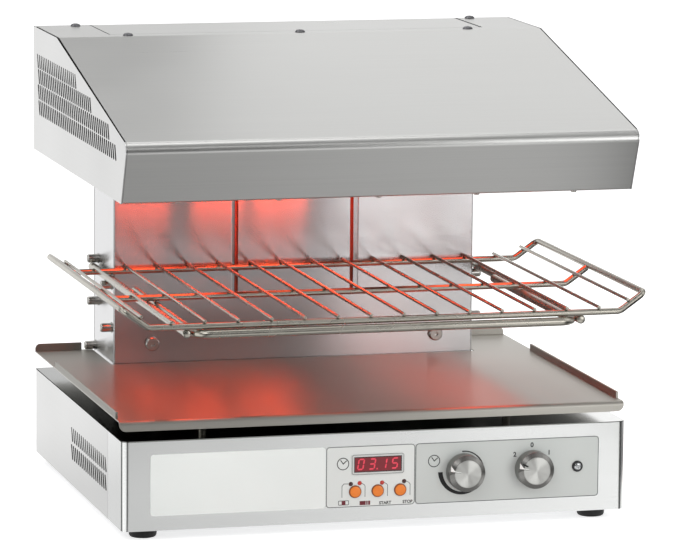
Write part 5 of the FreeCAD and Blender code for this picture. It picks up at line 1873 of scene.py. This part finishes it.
    def floor(self) -> None:
        """Lays a white floor that keeps the grill's shadow and is darker where steel mirrors it."""
        bm = bmesh.new()
        bmesh.ops.create_grid(bm, x_segments=1, y_segments=1, size=self.floor_size / 2)
        mesh = bpy.data.meshes.new("floor")
        bm.to_mesh(mesh)
        bm.free()
        material = bpy.data.materials.new("white_floor")
        material.use_nodes = True
        tree = material.node_tree
        tree.nodes.clear()
        link = tree.links.new
        path = tree.nodes.new("ShaderNodeLightPath").outputs
        matt = tree.nodes.new("ShaderNodeBsdfDiffuse")
        matt.inputs["Color"].default_value = (0.8, 0.8, 0.8, 1.0)
        lift = tree.nodes.new("ShaderNodeEmission")
        lift.inputs["Strength"].default_value = self.floor_lift
        lit = tree.nodes.new("ShaderNodeAddShader")
        link(matt.outputs[0], lit.inputs[0])
        link(lift.outputs[0], lit.inputs[1])
        grazing = tree.nodes.new("ShaderNodeLayerWeight")
        where = tree.nodes.new("ShaderNodeTexCoord")
        split = tree.nodes.new("ShaderNodeSeparateXYZ")
        link(where.outputs["Object"], split.inputs["Vector"])
        offsets = []
        for x, y in self.corners:
            offset = tree.nodes.new("ShaderNodeVectorMath")
            offset.inputs[1].default_value = (-x, -y, 0.0)
            link(where.outputs["Object"], offset.inputs[0])
            offsets.append(offset.outputs["Vector"])
        reach = self.tone_reach
        tone = self.ramp(tree, grazing.outputs["Facing"], self.grazing_tones)
        for share, tones in (
            (self.share(tree, split.outputs["X"], reach), self.side_tones),
            (self.share(tree, split.outputs["Y"], reach), self.depth_tones),
            (self.bearing(tree, offsets[0]), self.left_tones),
            (self.bearing(tree, offsets[1]), self.right_tones),
        ):
            product = tree.nodes.new("ShaderNodeVectorMath")
            product.operation = "MULTIPLY"
            link(tone, product.inputs[0])
            link(self.ramp(tree, share, tones), product.inputs[1])
            tone = product.outputs["Vector"]
        gloss = tree.nodes.new("ShaderNodeEmission")
        link(tone, gloss.inputs["Color"])
        shown = matt.outputs[0]
        for chooser, light in ((path["Is Camera Ray"], lit), (path["Is Glossy Ray"], gloss)):
            mix = tree.nodes.new("ShaderNodeMixShader")
            link(chooser, mix.inputs["Fac"])
            link(shown, mix.inputs[1])
            link(light.outputs[0], mix.inputs[2])
            shown = mix.outputs[0]
        out = tree.nodes.new("ShaderNodeOutputMaterial")
        link(shown, out.inputs["Surface"])
        mesh.materials.append(material)
        made = bpy.data.objects.new("floor", mesh)
        bpy.context.scene.collection.objects.link(made)

    def lamp(self, name: str, at: Place, aim: Place, size: tuple[float, float], watts: float,
             colour: Colour = (1.0, 1.0, 1.0), spread: float = 180.0) -> bpy.types.Object:
        """Hangs a soft rectangular lamp.

        Args:
            name: The lamp's name.
            at: Its place in metres.
            aim: The point that it faces.
            size: Its width and length in metres.
            watts: Its power.
            colour: Its colour.
            spread: The angle that its light fills, in degrees.

        Returns:
            The lamp.
        """
        data = bpy.data.lights.new(name, "AREA")
        data.shape = "RECTANGLE"
        data.size, data.size_y = size
        data.energy = watts
        data.color = colour
        data.spread = math.radians(spread)
        made = bpy.data.objects.new(name, data)
        facing = (Vector(aim) - Vector(at)).normalized()
        made.matrix_world = Matrix.Translation(at) @ facing.to_track_quat("-Z", "Y").to_matrix().to_4x4()
        bpy.context.scene.collection.objects.link(made)
        return made

    def lamps(self) -> None:
        """Hangs the soft room lamps and the glow below each heater window."""
        self.lamp("key_lamp", (-1.9, -2.4, 2.4), (0, 0, 0.3), (1.8, 1.8), 27.0)
        self.lamp("side_lamp", (2.6, -1.2, 1.6), (0, 0, 0.3), (1.4, 1.4), 8.0)
        self.lamp("top_lamp", (0.1, -0.4, 2.8), (0, -0.1, 0.4), (1.6, 1.0), 8.0)
        self.lamp("front_strip", (0.6, -3.4, 2.0), (0, 0, 0.4), (3.4, 0.7), 8.0)
        self.lamp("slope_lamp", (0.95, 1.6, 1.5), (0.1, -0.1, 0.5), (1.3, 0.7), 1.8)
        self.lamp("rear_card", (0.74, 1.5, 0.38), (0.27, -0.15, 0.1), (0.6, 0.34), 0.7)
        self.lamp("front_card", (0.88, -1.6, 0.42), (0.1, 0.1, 0.3), (0.72, 0.8), 4.0)
        glows = []
        for x, watts in zip(self.glow_places, self.glow_watts):
            at, aim, name = (x, -0.055, 0.3884), (x, -0.055, 0.0), f"tray_glow_{round(x / MM)}"
            glows.append(self.lamp(name, at, aim, (0.12, 0.34), watts, self.glow, 100.0))
        for x, watts in zip(self.wall_glow_xs, self.wall_glow_watts):
            at, aim, name = (x, 0.0, 0.384), (x, 0.135, 0.325), f"wall_glow_{round(x / MM)}"
            glows.append(self.lamp(name, at, aim, (0.07, 0.05), watts, self.glow, 70.0))
        for made in glows:
            made.visible_camera = False

    def build(self) -> None:
        """Builds the whole studio."""
        scene = bpy.context.scene
        scene.view_settings.view_transform = "Standard"
        self.camera()
        self.world()
        self.floor()
        self.lamps()


def main() -> None:
    """Builds the studio and every sub-assembly in order."""
    logging.basicConfig(level=logging.INFO, format="%(name)s %(message)s")
    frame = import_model()
    nodes = frame["nodes"]
    Studio().build()
    assemblies: list[Assembly] = [
        Base(nodes), Electrics(nodes), ControlPanel(nodes), TimerScale(nodes), Dial(nodes),
        Dial(nodes, "selector", Body.SELECTOR_DIAL, 186.7, 65.3, 170.0, True), PilotLamp(nodes),
        Column(nodes), Hood(nodes), Heaters(nodes), Tray(nodes), Carrier(nodes), Rack(nodes),
    ]
    for assembly in assemblies:
        assembly.build()
        LOG.info("%s is done", type(assembly).__name__)


if __name__ == "__main__":
    main()
